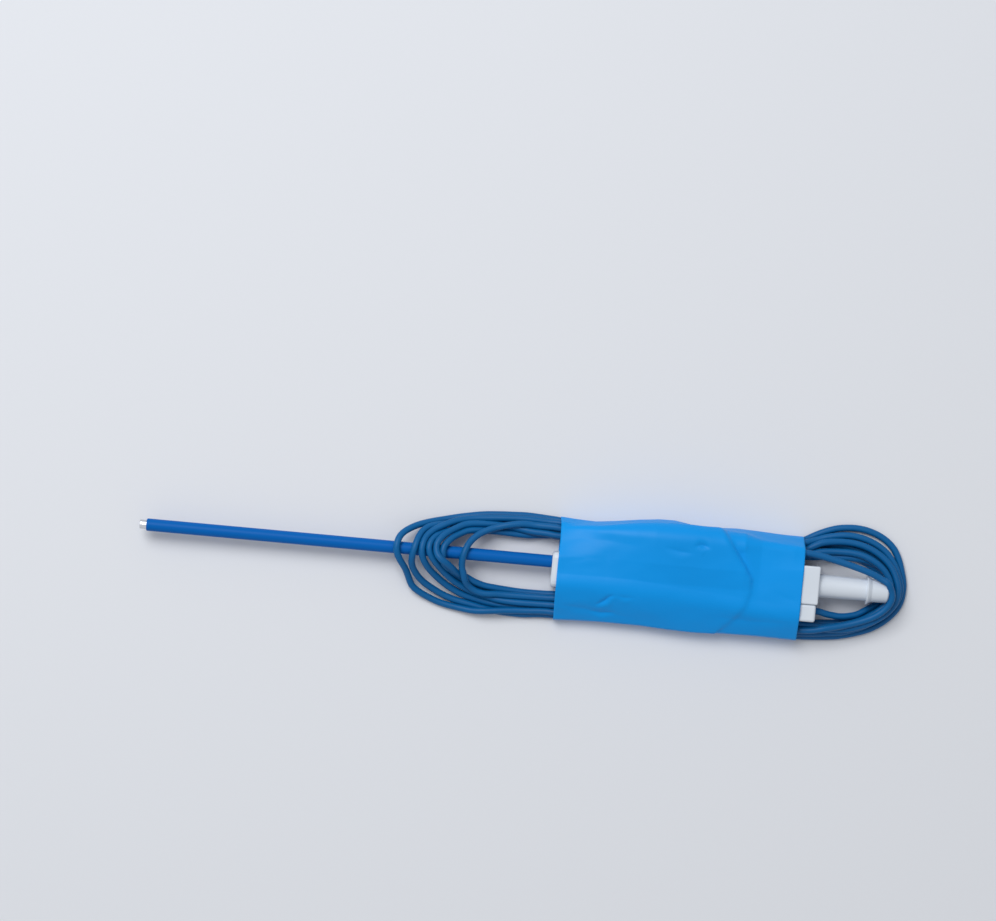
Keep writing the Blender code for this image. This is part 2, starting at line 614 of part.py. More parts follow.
def plug_pieces(plastic, brass, steel, root):
    """A single-pin plug: a spring cage on a headed pin, a ribbed body and a grooved strain relief."""
    place = (0.0, PLUG_Y, PLUG_HEIGHT)
    tip = PLUG_FRONT - PIN_LENGTH
    flange_end = PLUG_FRONT - GAP
    flange_start = flange_end - PIN_FLANGE_LENGTH
    pin = (
        (tip, 0.0),
        (tip, PIN_HEAD_RADIUS * 0.6),
        (tip + PIN_HEAD_LENGTH * 0.5, PIN_HEAD_RADIUS),
        (tip + PIN_HEAD_LENGTH, PIN_HEAD_RADIUS),
        (tip + PIN_HEAD_LENGTH, PIN_RADIUS),
        (flange_start, PIN_RADIUS),
        (flange_start, PIN_FLANGE_RADIUS),
        (flange_end, PIN_FLANGE_RADIUS),
        (flange_end, PIN_RADIUS),
        (PLUG_FRONT + PIN_IN_PLUG, PIN_RADIUS),
        (PLUG_FRONT + PIN_IN_PLUG, 0.0),
    )
    put("plug_pin", turned_mesh("plug_pin", pin, facets=20), brass, root, place)

    start, end = tip + PIN_HEAD_LENGTH + GAP, flange_start - GAP
    middle = (start + end) / 2
    inner = PIN_RADIUS + GAP
    spring = (
        (start, inner),
        (start, inner + SPRING_WALL),
        (middle, inner + SPRING_WALL + SPRING_BULGE),
        (end, inner + SPRING_WALL),
        (end, inner),
        (middle, inner + SPRING_BULGE),
    )
    cage = put("plug_spring", turned_mesh("plug_spring", spring, facets=20), steel, root, place)
    reach = inner + SPRING_WALL + SPRING_BULGE + CUT
    half = (end - start) * SPRING_SLOT_SHARE / 2
    thin = SPRING_SLOT / 2
    for k, (y, z) in enumerate(((reach, thin), (thin, reach))):
        cut(cage, f"slots_{k}", box_mesh(f"spring_slots_{k}", (middle - half, -y, -z), (middle + half, y, z)))

    bore_end = PLUG_FRONT + PIN_IN_PLUG + GAP
    seat_start = PLUG_REAR - RELIEF_SPIGOT_LENGTH - GAP
    ribs = []
    for k in range(PLUG_RIBS):
        x = PLUG_FRONT + PLUG_RIBS_AT + k * PLUG_RIB_PITCH
        low = PLUG_RADIUS - PLUG_RIB_HEIGHT
        top_start, top_end = x + PLUG_RIB_SLOPE, x + PLUG_RIB_PITCH - 2 * PLUG_RIB_SLOPE
        ribs += [(x, low), (top_start, PLUG_RADIUS), (top_end, PLUG_RADIUS), (top_end + PLUG_RIB_SLOPE, low)]
    body = (
        (bore_end, 0.0),
        (bore_end, PIN_RADIUS + GAP),
        (PLUG_FRONT, PIN_RADIUS + GAP),
        (PLUG_FRONT, PLUG_RADIUS - 2 * PLUG_RIB_HEIGHT),
        (PLUG_FRONT + PLUG_RIB_HEIGHT, PLUG_RADIUS - PLUG_RIB_HEIGHT),
        (PLUG_FRONT + PLUG_COLLAR_LENGTH, PLUG_RADIUS - PLUG_RIB_HEIGHT),
        (PLUG_FRONT + PLUG_WAIST_AT, PLUG_WAIST_RADIUS),
        *ribs,
        (PLUG_REAR, PLUG_NECK_RADIUS),
        (PLUG_REAR, RELIEF_SPIGOT_RADIUS + GAP),
        (seat_start, RELIEF_SPIGOT_RADIUS + GAP),
        (seat_start, 0.0),
    )
    put("plug_body", turned_mesh("plug_body", body), plastic, root, place)

    shoulder = PLUG_REAR + GAP
    grooves = []
    pitch = RELIEF_LENGTH / (RELIEF_GROOVES + 1)
    for k in range(RELIEF_GROOVES):
        x = shoulder + (k + 0.75) * pitch
        radius = RELIEF_RADIUS + (RELIEF_END_RADIUS - RELIEF_RADIUS) * (x - shoulder) / RELIEF_LENGTH
        low = radius - RELIEF_GROOVE_DEPTH / 2
        grooves += [(x, radius), (x, low), (x + pitch / 3, low), (x + pitch / 3, radius)]
    relief = (
        (seat_start + GAP, 0.0),
        (seat_start + GAP, RELIEF_SPIGOT_RADIUS),
        (shoulder, RELIEF_SPIGOT_RADIUS),
        (shoulder, RELIEF_RADIUS),
        *grooves,
        (RELIEF_END, RELIEF_END_RADIUS),
        (RELIEF_END, CORD_RADIUS + CORD_CLEARANCE),
        (RELIEF_END - CORD_IN_RELIEF - GAP, CORD_RADIUS + CORD_CLEARANCE),
        (RELIEF_END - CORD_IN_RELIEF - GAP, 0.0),
    )
    put("plug_relief", turned_mesh("plug_relief", relief, facets=20), plastic, root, place)


def belt(circles, grow):
    """The taut outline round circles given as (y, z, radius), each grown by the same amount."""
    outline = []
    for k in range(SLEEVE_FACETS):
        a = 2 * math.pi * k / SLEEVE_FACETS
        y, z, radius = max(circles, key=lambda c: c[0] * math.cos(a) + c[1] * math.sin(a) + c[2])
        outline.append((y + (radius + grow) * math.cos(a), z + (radius + grow) * math.sin(a)))
    return outline


def cord_sleeve(material, root):
    """A tube of film drawn flat and tight over the handle, the plug and the two runs of the cord."""
    corner = SLEEVE_EDGE_RADIUS
    circles = (
        (SLEEVE_RISE - corner, SLEEVE_WALL + corner, corner),
        (PLUG_Y, PLUG_HEIGHT, PLUG_RADIUS + GAP),
        (EDGE_RADIUS - REAR_DROP, AXIS_HEIGHT + HANDLE_THICKNESS / 2 - EDGE_RADIUS, EDGE_RADIUS + GAP),
        (corner - SLEEVE_DROP, INSIDE_FLOOR + LOWER_BUNDLE_HEIGHT + GAP - corner, corner),
        (corner - SLEEVE_DROP, SLEEVE_WALL + corner, corner),
    )
    inner, outer = belt(circles, 0.0), belt(circles, SLEEVE_WALL)
    start, end = SLEEVE_START, HANDLE_LENGTH + SLEEVE_PAST_HANDLE
    loops = ((start, outer), (end, outer), (end, inner), (start, inner))
    rings = [[(x, y, z) for y, z in outline] for x, outline in loops]
    put("cord_sleeve", loft_mesh("cord_sleeve", rings, closed=True), material, root)


def cord_hank(material, root):
    """The outer shape of the wound cord: a ring round the handle, that climbs over the tube and lies down again."""
    rings = []
    for outer_x, outer_y, inner_x, inner_y, low, high in smooth_points(HANK_STATIONS, HANK_STEPS, closed=True):
        outer, inner = Vector((outer_x, outer_y)), Vector((inner_x, inner_y))
        along = (outer - inner).normalized() * HANK_CORNER
        near_outer, near_inner = outer - along, inner + along
        rings.append((
            (*outer, low + HANK_CORNER),
            (*outer, high - HANK_CORNER),
            (*near_outer, high),
            (*near_inner, high),
            (*inner, high - HANK_CORNER),
            (*inner, low + HANK_CORNER),
            (*near_inner, low),
            (*near_outer, low),
        ))
    put("cord_hank", loft_mesh("cord_hank", rings, closed=True), material, root)


def cord_stretch(name, route, material, root):
    curve = bpy.data.curves.new(name, "CURVE")
    curve.dimensions = "3D"
    curve.bevel_depth = CORD_RADIUS
    curve.bevel_resolution = 2
    curve.use_fill_caps = True
    points = smooth_points(route, ROUTE_STEPS)
    spline = curve.splines.new("POLY")
    spline.points.add(len(points) - 1)
    for spline_point, point in zip(spline.points, points):
        spline_point.co = (*point, 1.0)
    put(name, curve, material, root)


def build():
    clear_scene()
    root = bpy.data.objects.new("place", None)
    root.location = ((TUBE_REACH - NOZZLE_END) / 2, (SLEEVE_DROP - SLEEVE_RISE) / 2, 0.0)
    bpy.context.collection.objects.link(root)

    white = finish("white_plastic", (0.78, 0.81, 0.85), 0.38)
    steel = finish("tube_steel", (0.55, 0.56, 0.58), 0.30, 1.0)
    tube_blue = finish("tube_insulation", (0.010, 0.140, 0.520), 0.35)
    cord_blue = finish("cord_jacket", (0.012, 0.110, 0.290), 0.45)
    sleeve_blue = finish("sleeve_film", (0.015, 0.290, 0.730), 0.30)
    brass = finish("plated_brass", (0.72, 0.62, 0.42), 0.30, 1.0)
    rubber = finish("seal_rubber", (0.03, 0.03, 0.03), 0.70)
    copper = finish("conductor_copper", (0.80, 0.42, 0.26), 0.35, 1.0)

    suction_tube(steel, root)
    tube_insulation(tube_blue, root)
    handle_shell("handle_shell_left", 1, white, root)
    handle_shell("handle_shell_right", -1, white, root)
    suction_channel(white, root)
    channel_seal(rubber, root)
    hose_connector(white, root)
    cord_grip(white, root)
    contact_clip(brass, root)
    conductor(copper, root)
    plug_pieces(cord_blue, brass, steel, root)
    cord_sleeve(sleeve_blue, root)
    cord_hank(cord_blue, root)
    cord_stretch("cord_inside", [(x, y, AXIS_HEIGHT) for x, y in INSIDE_ROUTE], cord_blue, root)
    cord_stretch("cord_lead_out", LEAD_OUT_ROUTE, cord_blue, root)
    cord_stretch("cord_plug_end", PLUG_END_ROUTE, cord_blue, root)


build()
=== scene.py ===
# Looks of the foot-switched suction coagulator, wound in its cord and held by its film sleeve.
# Sizes are in millimetres: x from the handle's nose, y from the suction tube's axis, and z from the surface
# that it lies on.
import json
import math

import bpy
import numpy as np
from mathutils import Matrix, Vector


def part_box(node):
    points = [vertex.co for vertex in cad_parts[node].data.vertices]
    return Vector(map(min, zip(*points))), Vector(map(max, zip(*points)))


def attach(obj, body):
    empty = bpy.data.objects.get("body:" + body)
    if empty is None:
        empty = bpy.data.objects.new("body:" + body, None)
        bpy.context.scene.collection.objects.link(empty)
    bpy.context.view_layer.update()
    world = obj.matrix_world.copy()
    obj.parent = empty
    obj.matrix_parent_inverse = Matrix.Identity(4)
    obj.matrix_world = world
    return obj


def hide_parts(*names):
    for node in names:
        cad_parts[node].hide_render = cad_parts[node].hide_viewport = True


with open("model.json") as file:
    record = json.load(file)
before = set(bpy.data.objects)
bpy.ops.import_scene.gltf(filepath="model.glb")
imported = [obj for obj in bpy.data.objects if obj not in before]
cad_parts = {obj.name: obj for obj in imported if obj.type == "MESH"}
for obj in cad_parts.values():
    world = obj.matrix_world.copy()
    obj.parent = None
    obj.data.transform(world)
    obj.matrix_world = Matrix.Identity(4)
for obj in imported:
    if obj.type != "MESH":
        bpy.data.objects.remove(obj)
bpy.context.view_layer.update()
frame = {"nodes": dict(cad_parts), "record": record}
nodes = frame["nodes"]
print("stage: frame loaded")

tubeLow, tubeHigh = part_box("suction_tube")
tubeReach = 152.4  # from the nose to the tip
# the nose in the row's frame
origin = np.array([tubeLow.x * 1000 + tubeReach, (tubeLow.y + tubeHigh.y) * 500, 0.0])
axisHeight = (tubeLow.z + tubeHigh.z) * 500


def toRow(points):
    return (np.asarray(points, float) + origin) / 1000


def meshObject(name, points, faces, smoothAngle=35, uvs=None):
    mesh = bpy.data.meshes.new(name)
    mesh.from_pydata([tuple(p) for p in toRow(points)], [], [tuple(f) for f in faces])
    if uvs is not None:
        layer = mesh.uv_layers.new(name="UVMap")
        for loop in mesh.loops:
            layer.data[loop.index].uv = uvs[loop.vertex_index]
    mesh.update()
    mesh.shade_smooth()
    mesh.set_sharp_from_angle(angle=math.radians(smoothAngle))
    piece = bpy.data.objects.new(name, mesh)
    bpy.context.collection.objects.link(piece)
    return piece


# Camera: straight above, rolled as the photograph is

cameraView = {
    "pixelsPerMm": 2.715,
    "pictureWidth": 996,
    "centre": (-23.2, 35.2),
    "roll": 5.2,
    "distance": 1200,
    "sensor": 36,
    "clip": (0.05, 20),
}

cameraData = bpy.data.cameras.new("camera")
cameraData.sensor_width = cameraView["sensor"]
seenWidth = cameraView["pictureWidth"] / cameraView["pixelsPerMm"]
cameraData.lens = cameraView["sensor"] * cameraView["distance"] / seenWidth
cameraData.clip_start, cameraData.clip_end = cameraView["clip"]
camera = bpy.data.objects.new("camera", cameraData)
camera.location = toRow([(*cameraView["centre"], axisHeight + cameraView["distance"])])[0]
camera.rotation_euler = (0, 0, math.radians(cameraView["roll"]))
bpy.context.collection.objects.link(camera)
bpy.context.scene.camera = camera
print("stage: camera")

# What the cord lies against

handle = {
    "top": [(0, 3.7), (11, 4.75), (22, 5.8), (33, 4.6), (44, 5.8), (90, 7.05)],
    "bottom": [(0, -9.2), (30, -8.9), (60, -11.2), (86.8, -13.5), (90, -13.5)],
    "low": 0.7,
    "high": 13.7,
    "edge": 2.2,
    "end": 90,
}
plug = {
    "y": 11.9,
    "z": 10.75,
    "front": 34.0,
    "rear": 70.0,
    "radius": 4.75,
    "reliefEnd": 83.3,
    "pinTip": 15.0,
    "thinRadius": 2.6,  # of the pin's flange and the strain relief
}
rearEnd = {
    # low corner, high corner and edge
    "collar": ((90.3, -7.05, 0.9), (98.5, 7.05, 13.5), 0.7),
    "gripBlock": ((90.3, -13.5, 1.3), (97.8, -7.35, 13.1), 1.2),
    # stem, barb and nozzle as start, end and radius
    "rods": [(98.0, 115.4, 4.2), (115.4, 118.0, 5.45), (118.0, 124.0, 4.3)],
    "nozzleBall": {"x": 120.2, "radius": 4.4},
}
sleeve = {
    "start": 2.1,
    "end": 92.1,
    "film": 0.25,
    "rows": 168,
    "around": 276,
    "edge": 1.6,
    "beltSides": 72,
    "outlinePoints": 720,
    "gap": 0.06,  # between the film and what it covers
    "besideHandle": 6,  # height above which it lies against the handle
    "farAway": 9.0,
    "flatBelow": 0.7,
    "lowest": 2.0,  # height of the round edges along the floor
    "shoulder": {"inward": 0.3, "lean": 0.35, "height": 3.2},
    "overHandle": {"z": 11.5, "radius": 2.35},
    "thumbEdge": [(0, 16.6), (8, 16.3), (15, 16.1), (23, 16.9), (31, 18.0), (38, 18.6), (44, 18.6),
                  (51, 17.7), (57, 17.7), (67, 18.1), (73, 18.0), (82, 17.6), (93, 17.4)],
    "fingerEdge": [(0, -21.6), (10, -21.2), (19, -20.9), (34, -20.7), (45, -21.3), (54, -21.4), (66, -21.1),
                   (77, -20.9), (93, -21.1)],
    "plugRadius": [(0, 1.5), (16, 2.7), (30, 4.5), (37, 5.0), (65, 5.0), (70, 4.7), (76, 3.1), (84, 2.4),
                   (93, 1.7)],
    "plugHeight": [(0, 6.6), (8, 8.6), (16, 10.3), (21, 10.75), (88, 10.75), (93, 10.3)],
    "stack": [(0, 3.4), (12, 3.0), (26, 0.8), (93, 0.8)],
    "lowerHeight": [(0, 4.3), (15, 4.4), (46, 5.2), (77, 6.4), (93, 6.4)],
}


def between(table, x):
    return np.interp(x, [p[0] for p in table], [p[1] for p in table])


def sleeveCircles(x):
    # the round edges that the film is drawn over at x, as y, z, radius
    edge = sleeve["edge"]
    thumbY = between(sleeve["thumbEdge"], x) - sleeve["film"] - edge
    fingerY = between(sleeve["fingerEdge"], x) + sleeve["film"] + edge
    stack = between(sleeve["stack"], x)
    shoulder, over = sleeve["shoulder"], sleeve["overHandle"]
    return [
        (thumbY, sleeve["lowest"], edge),
        (thumbY - shoulder["inward"] - shoulder["lean"] * stack, shoulder["height"] + stack, edge),
        (plug["y"], between(sleeve["plugHeight"], x), between(sleeve["plugRadius"], x)),
        (between(handle["top"], x) - handle["edge"], over["z"], over["radius"]),
        (between(handle["bottom"], x) + handle["edge"], over["z"], over["radius"]),
        (fingerY + shoulder["inward"], between(sleeve["lowerHeight"], x), edge),
        (fingerY, sleeve["lowest"], edge),
    ]


# how far the taut film reaches in each direction, at every millimetre of its length
beltAngles = 2 * np.pi * np.arange(sleeve["beltSides"]) / sleeve["beltSides"]
beltNormals = np.stack([np.cos(beltAngles), np.sin(beltAngles)], axis=1)
beltTable = np.array([
    np.max([beltNormals @ np.array(c[:2], float) + c[2] for c in sleeveCircles(x)], axis=0)
    for x in range(math.ceil(sleeve["end"]) + 1)
])

# Cord: wound round the handle and over the suction tube, and back to its plug

cord = {
    "diameter": 2.5,
    "spacing": 1.6,
    "gripExit": (98.1, -9.4, 7.2),
    "plugEntry": (80.9, 11.9, 10.75),
    "sides": 14,
}
# One entry a turn: its lane on the thumb side as y and z, its lanes on the finger side at the nose and at
# the rear, its loop over the suction tube, and the loop round the connector that leads into it
turns = [
    {
        "thumb": (10.75, 1.95), "thumbNose": (11.55, 4.1),
        "nose": (-16.2, 4.1), "rear": (-14.75, 1.95), "crest": 1.3,
        "over": [(-12, 11.2), (-24.6, 10.8), (-32.6, 9.6), (-38.3, 8.0), (-42.3, 5.9), (-44.8, 3.2),
                 (-45.3, 0.2), (-43.2, -3.2), (-39.2, -6.8), (-34.0, -10.3), (-27.4, -13.6),
                 (-17.0, -16.0)],
        "round": [(102.4, -10.2), (108.0, -10.8), (113.9, -9.9), (117.8, -8.3), (121.6, -5.8),
                  (124.6, -3.0), (125.7, 0.2), (125.3, 3.0), (123.4, 5.6), (119.5, 8.2), (114.8, 10.3),
                  (109.0, 11.6), (102.1, 12.0)],
    },
    {
        "thumb": (8.2, 1.95), "thumbNose": (10.3, 1.95),
        "nose": (-15.0, 1.95), "rear": (-17.2, 1.95), "crest": 3.5,
        "over": [(-10, 10.4), (-20.0, 10.4), (-30.2, 10.0), (-34.5, 8.1), (-37.6, 5.6), (-39.9, 2.6),
                 (-40.8, -0.7), (-39.8, -3.8), (-36.8, -7.0), (-32.6, -10.0), (-27.0, -12.6),
                 (-21.0, -14.0), (-14.6, -14.8)],
        "round": [(104, -14.2), (110, -13.4), (117.2, -10.6), (122.6, -6.8), (125.6, -2.6), (126.5, 1.5),
                  (124.6, 5.4), (121, 8.4), (116.5, 10.4), (110.5, 11.4), (104, 11.4), (98, 11.1)],
    },
    {
        "thumb": (13.3, 1.95), "thumbNose": (12.8, 1.95),
        "nose": (-19.8, 1.95), "rear": (-19.65, 1.95), "crest": 1.3,
        "over": [(-16, 13.0), (-32.3, 11.9), (-39.9, 10.6), (-45.2, 9.3), (-48.1, 7.4), (-49.7, 4.6),
                 (-50.6, 1.2), (-51.4, -2.4), (-51.4, -5.5), (-50.0, -8.4), (-47.2, -11.5), (-43.2, -14.0),
                 (-38.4, -16.3), (-32.8, -17.9), (-24.0, -19.3), (-12, -20.2)],
        "round": [(104.0, -16.4), (110.5, -14.8), (117.4, -12.2), (122.6, -9.0), (126.2, -5.4),
                  (127.8, -2.0), (127.9, 1.6), (126.3, 5.2), (123.3, 8.5), (119.4, 11.4), (114.7, 13.5),
                  (109.5, 14.9), (103.4, 15.3), (97.4, 14.8)],
    },
    {
        "thumb": (15.85, 1.95), "thumbNose": (15.3, 1.95),
        "nose": (-18.6, 4.1), "rear": (-18.4, 4.1), "crest": 1.3,
        "over": [(-20, 14.6), (-32.5, 12.8), (-40.0, 11.3), (-47.4, 9.8), (-51.9, 8.1), (-55.7, 5.5),
                 (-57.2, 2.6), (-57.4, -1.0), (-55.8, -4.4), (-53.5, -7.7), (-52.0, -11.1), (-50.6, -13.8),
                 (-47.4, -16.0), (-42.0, -18.3), (-36.8, -19.6), (-29.3, -20.2), (-19.2, -20.1),
                 (-9, -19.5)],
        "round": [(101, -18.5), (104.7, -17.85), (109.5, -17.0), (114.0, -15.9), (120.9, -13.1),
                  (125.9, -9.4), (129.3, -4.5), (130.25, 1.35), (129.3, 6.9), (127.9, 11.7), (125.8, 15.7),
                  (122.1, 19.0), (117.3, 21.2), (111.9, 22.2), (106.5, 21.9), (103.0, 21.1), (98.8, 19.4)],
    },
    {
        "thumb": (14.55, 4.1), "thumbNose": (14.05, 4.1),
        "nose": (-17.4, 1.95), "rear": (-16.0, 4.1), "crest": 3.5,
        "over": [(-18, 14.1), (-32.4, 12.4), (-38.8, 10.6), (-43.4, 8.2), (-46.4, 5.6), (-47.9, 2.3),
                 (-47.8, -2.1), (-45.4, -6.2), (-41.5, -9.8), (-36.4, -13.2), (-29.6, -15.9), (-18, -17.4)],
        "round": [(104.8, -16.7), (111.0, -15.4), (118.4, -12.4), (123.3, -9.1), (127.0, -5.2),
                  (128.9, -1.0), (129.0, 2.5), (127.6, 7.1), (125.4, 11.3), (122.1, 14.9), (117.8, 17.4),
                  (112.8, 18.9), (107.5, 19.2), (101.6, 18.0)],
    },
    {
        "thumb": (9.5, 4.1), "thumbNose": (10.3, 6.2),
        "nose": (-12.6, 1.95), "rear": (-14.8, 6.2), "crest": 5.7,
        "over": [(-14, 11.0), (-29.7, 10.4), (-36.3, 8.4), (-40.9, 6.0), (-43.2, 3.2), (-42.6, 0.2),
                 (-39.9, -3.3), (-35.0, -7.2), (-29.5, -9.8), (-22.7, -11.8), (-12.0, -12.8)],
        "round": [(103, -15.0), (110, -13.6), (116.5, -11.4), (122, -8.0), (125.3, -4.0), (126.1, 0.3),
                  (124.9, 4.2), (122.0, 8.0), (117.5, 10.8), (111.8, 12.6), (104, 12.9), (97, 12.3)],
    },
    {
        "thumb": (12.0, 4.1), "thumbNose": (12.8, 6.2),
        "nose": (-13.8, 4.1), "rear": (-17.2, 6.25), "crest": 5.7,
        "over": [(-8, 12.0), (-17.2, 11.4), (-22.1, 10.2), (-27.0, 8.0), (-30.7, 4.5), (-32.5, 0.3),
                 (-33.1, -3.8), (-32.4, -7.3), (-30.8, -10.7), (-27.8, -13.4), (-22.7, -14.7),
                 (-13, -14.2)],
        "round": [(104, -15.6), (111.0, -14.8), (118, -11.9), (123.5, -8.2), (126.8, -4.1), (128.0, 0.4),
                  (127.2, 4.6), (125.1, 8.8), (121.5, 12.4), (116.5, 15.2), (110.5, 16.7), (104, 16.8),
                  (97.5, 15.8)],
    },
]
lastLoop = [
    (104.0, -15.2, 6.2), (110.7, -13.6, 6.6), (116.5, -11.5, 7.2), (121.2, -8.8, 8.0), (124.2, -5.9, 9.0),
    (125.6, -3.0, 10.2), (125.4, -0.2, 11.3), (123.6, 2.4, 11.9), (120.7, 4.5, 12.1), (115.9, 6.6, 12.0),
    (110.5, 8.2, 11.6), (104.3, 9.7, 11.1), (98.9, 10.9, 10.85), (92.9, 11.7, 10.75),
]


def ease(t):
    t = min(max(t, 0.0), 1.0)
    return t * t * (3 - 2 * t)


route = {
    "afterGrip": (99.6, -9.5, 7.0),
    "firstHeight": 6.4,  # at the start of the first loop round the connector
    "intoSleeve": 0.3,  # how much above its lane a strand comes in
    "lowest": 1.3,
    "besideCollar": 10.6,  # the strands keep clear of the collar
    "mouth": (92, 84),
    "mouthShare": 0.6,
    "thumbPlaces": (70, 50, 30),
    "thumbNosePlaces": (9, 0),
    "fingerPlaces": (0, 15, 30, 45, 60, 75, 88),
    "laneChange": {"from": 15, "over": 62},
    # the loops' height over the tube, from floor to crest within a reach to both sides
    "floor": 1.25,
    "crest": 9.6,
    "reach": 14,
    "shape": 0.8,
    "stack": {"height": 0.2, "edge": 1.5, "reach": 12},
    "beforePlug": (6.6, 3.1),
}


def cordRoute():
    points = [cord["gripExit"], route["afterGrip"]]
    for k, turn in enumerate(turns):
        thumbY, thumbZ = turn["thumb"]
        startZ = turns[k - 1]["rear"][1] if k else route["firstHeight"]
        endZ = thumbZ + route["intoSleeve"]
        middleZ = 2 * turn["crest"] - (startZ + endZ) / 2
        for i, (x, y) in enumerate(turn["round"]):
            t = i / (len(turn["round"]) - 1)
            z = (1 - t) ** 2 * startZ + 2 * t * (1 - t) * middleZ + t * t * endZ
            points.append((x, y, max(route["lowest"], z)))
        mouthY = max(thumbY, route["besideCollar"])
        outer, inner = route["mouth"]
        points += [(outer, mouthY, thumbZ), (inner, thumbY + (mouthY - thumbY) * route["mouthShare"], thumbZ)]
        points += [(x, thumbY, thumbZ) for x in route["thumbPlaces"]]
        points += [(x, *turn["thumbNose"]) for x in route["thumbNosePlaces"]]
        stack = route["stack"]
        for x, y in turn["over"]:
            rise = route["crest"] * ease(1 - abs(y) / route["reach"]) ** route["shape"]
            stacked = stack["height"] * k * ease(stack["edge"] - abs(y) / stack["reach"])
            points.append((x, y, route["floor"] + rise + stacked))
        (noseY, noseZ), (rearY, rearZ) = turn["nose"], turn["rear"]
        for x in route["fingerPlaces"]:
            t = ease((x - route["laneChange"]["from"]) / route["laneChange"]["over"])
            points.append((x, noseY + (rearY - noseY) * t, noseZ + (rearZ - noseZ) * t))
    points += lastLoop
    plugX, plugY, plugZ = cord["plugEntry"]
    points += [(plugX + before, plugY, plugZ) for before in route["beforePlug"]]
    return points + [cord["plugEntry"]]


def smoothCurve(points, step):
    points = np.asarray(points, float)
    last = len(points) - 1
    pieces = []
    for k in range(last):
        a, b, c, d = (points[min(max(k + o, 0), last)] for o in (-1, 0, 1, 2))
        count = max(2, int(np.linalg.norm(c - b) / step))
        t = (np.arange(count) / count)[:, None]
        pieces.append(0.5 * (
            2 * b + (c - a) * t + (2 * a - 5 * b + 4 * c - d) * t**2 + (3 * b - a - 3 * c + d) * t**3
        ))
    return np.concatenate([*pieces, points[-1:]])


def evenly(path, spacing):
    lengths = np.concatenate([[0], np.cumsum(np.linalg.norm(np.diff(path, axis=0), axis=1))])
    at = np.linspace(0, lengths[-1], int(round(lengths[-1] / spacing)) + 1)
    return np.stack([np.interp(at, lengths, path[:, k]) for k in range(3)], axis=1)


def outOfRod(p, startX, endX, y, z, radius):
    offset = p[:, 1:] - np.array([y, z])
    distance = np.maximum(np.linalg.norm(offset, axis=1), 1e-6)
    need = radius + cord["diameter"] / 2 - distance
    hit = (p[:, 0] > startX) & (p[:, 0] < endX) & (need > 0)
    p[hit, 1:] += offset[hit] / distance[hit, None] * need[hit, None]


def outOfBall(p, centre, radius):
    offset = p - np.array(centre)
    distance = np.maximum(np.linalg.norm(offset, axis=1), 1e-6)
    need = radius + cord["diameter"] / 2 - distance
    hit = need > 0
    p[hit] += offset[hit] / distance[hit, None] * need[hit, None]


def outOfRounded(p, low, high, edge):
    # a box with round edges; low and high are its corners, or one pair for each point
    reach = edge + cord["diameter"] / 2
    low, high = low + edge, high - edge
    nearest = np.clip(p, low, high)
    offset = p - nearest
    distance = np.linalg.norm(offset, axis=1)
    near = (distance > 1e-6) & (distance < reach)
    p[near] += offset[near] / distance[near, None] * (reach - distance[near])[:, None]
    inside = distance <= 1e-6
    if inside.any():
        y = p.shape[1] - 2
        middle = (low + high)[..., y] / 2 if low.ndim == 1 else (low + high)[inside, y] / 2
        lowY = low[y] if low.ndim == 1 else low[inside, y]
        highY = high[y] if high.ndim == 1 else high[inside, y]
        p[inside, y] = np.where(p[inside, y] > middle, highY + reach, lowY - reach)


clear = {
    "tube": {"start": -152, "end": -0.5, "radius": 2.3},
    "crossing": {"before": -15, "within": 6, "fall": 13},  # where strands pass over the tube
    "gripPoints": 8,  # first points, in the grip
    "plugPoints": 14,  # last points, at the plug
    "plugGap": 0.5,
    "reliefGap": 0.7,
    "collarSide": {"from": 91.5, "to": 106, "y": 10.3, "share": 0.3, "lastPoints": 40},
    "onFilm": (1.5, 92.3),
}


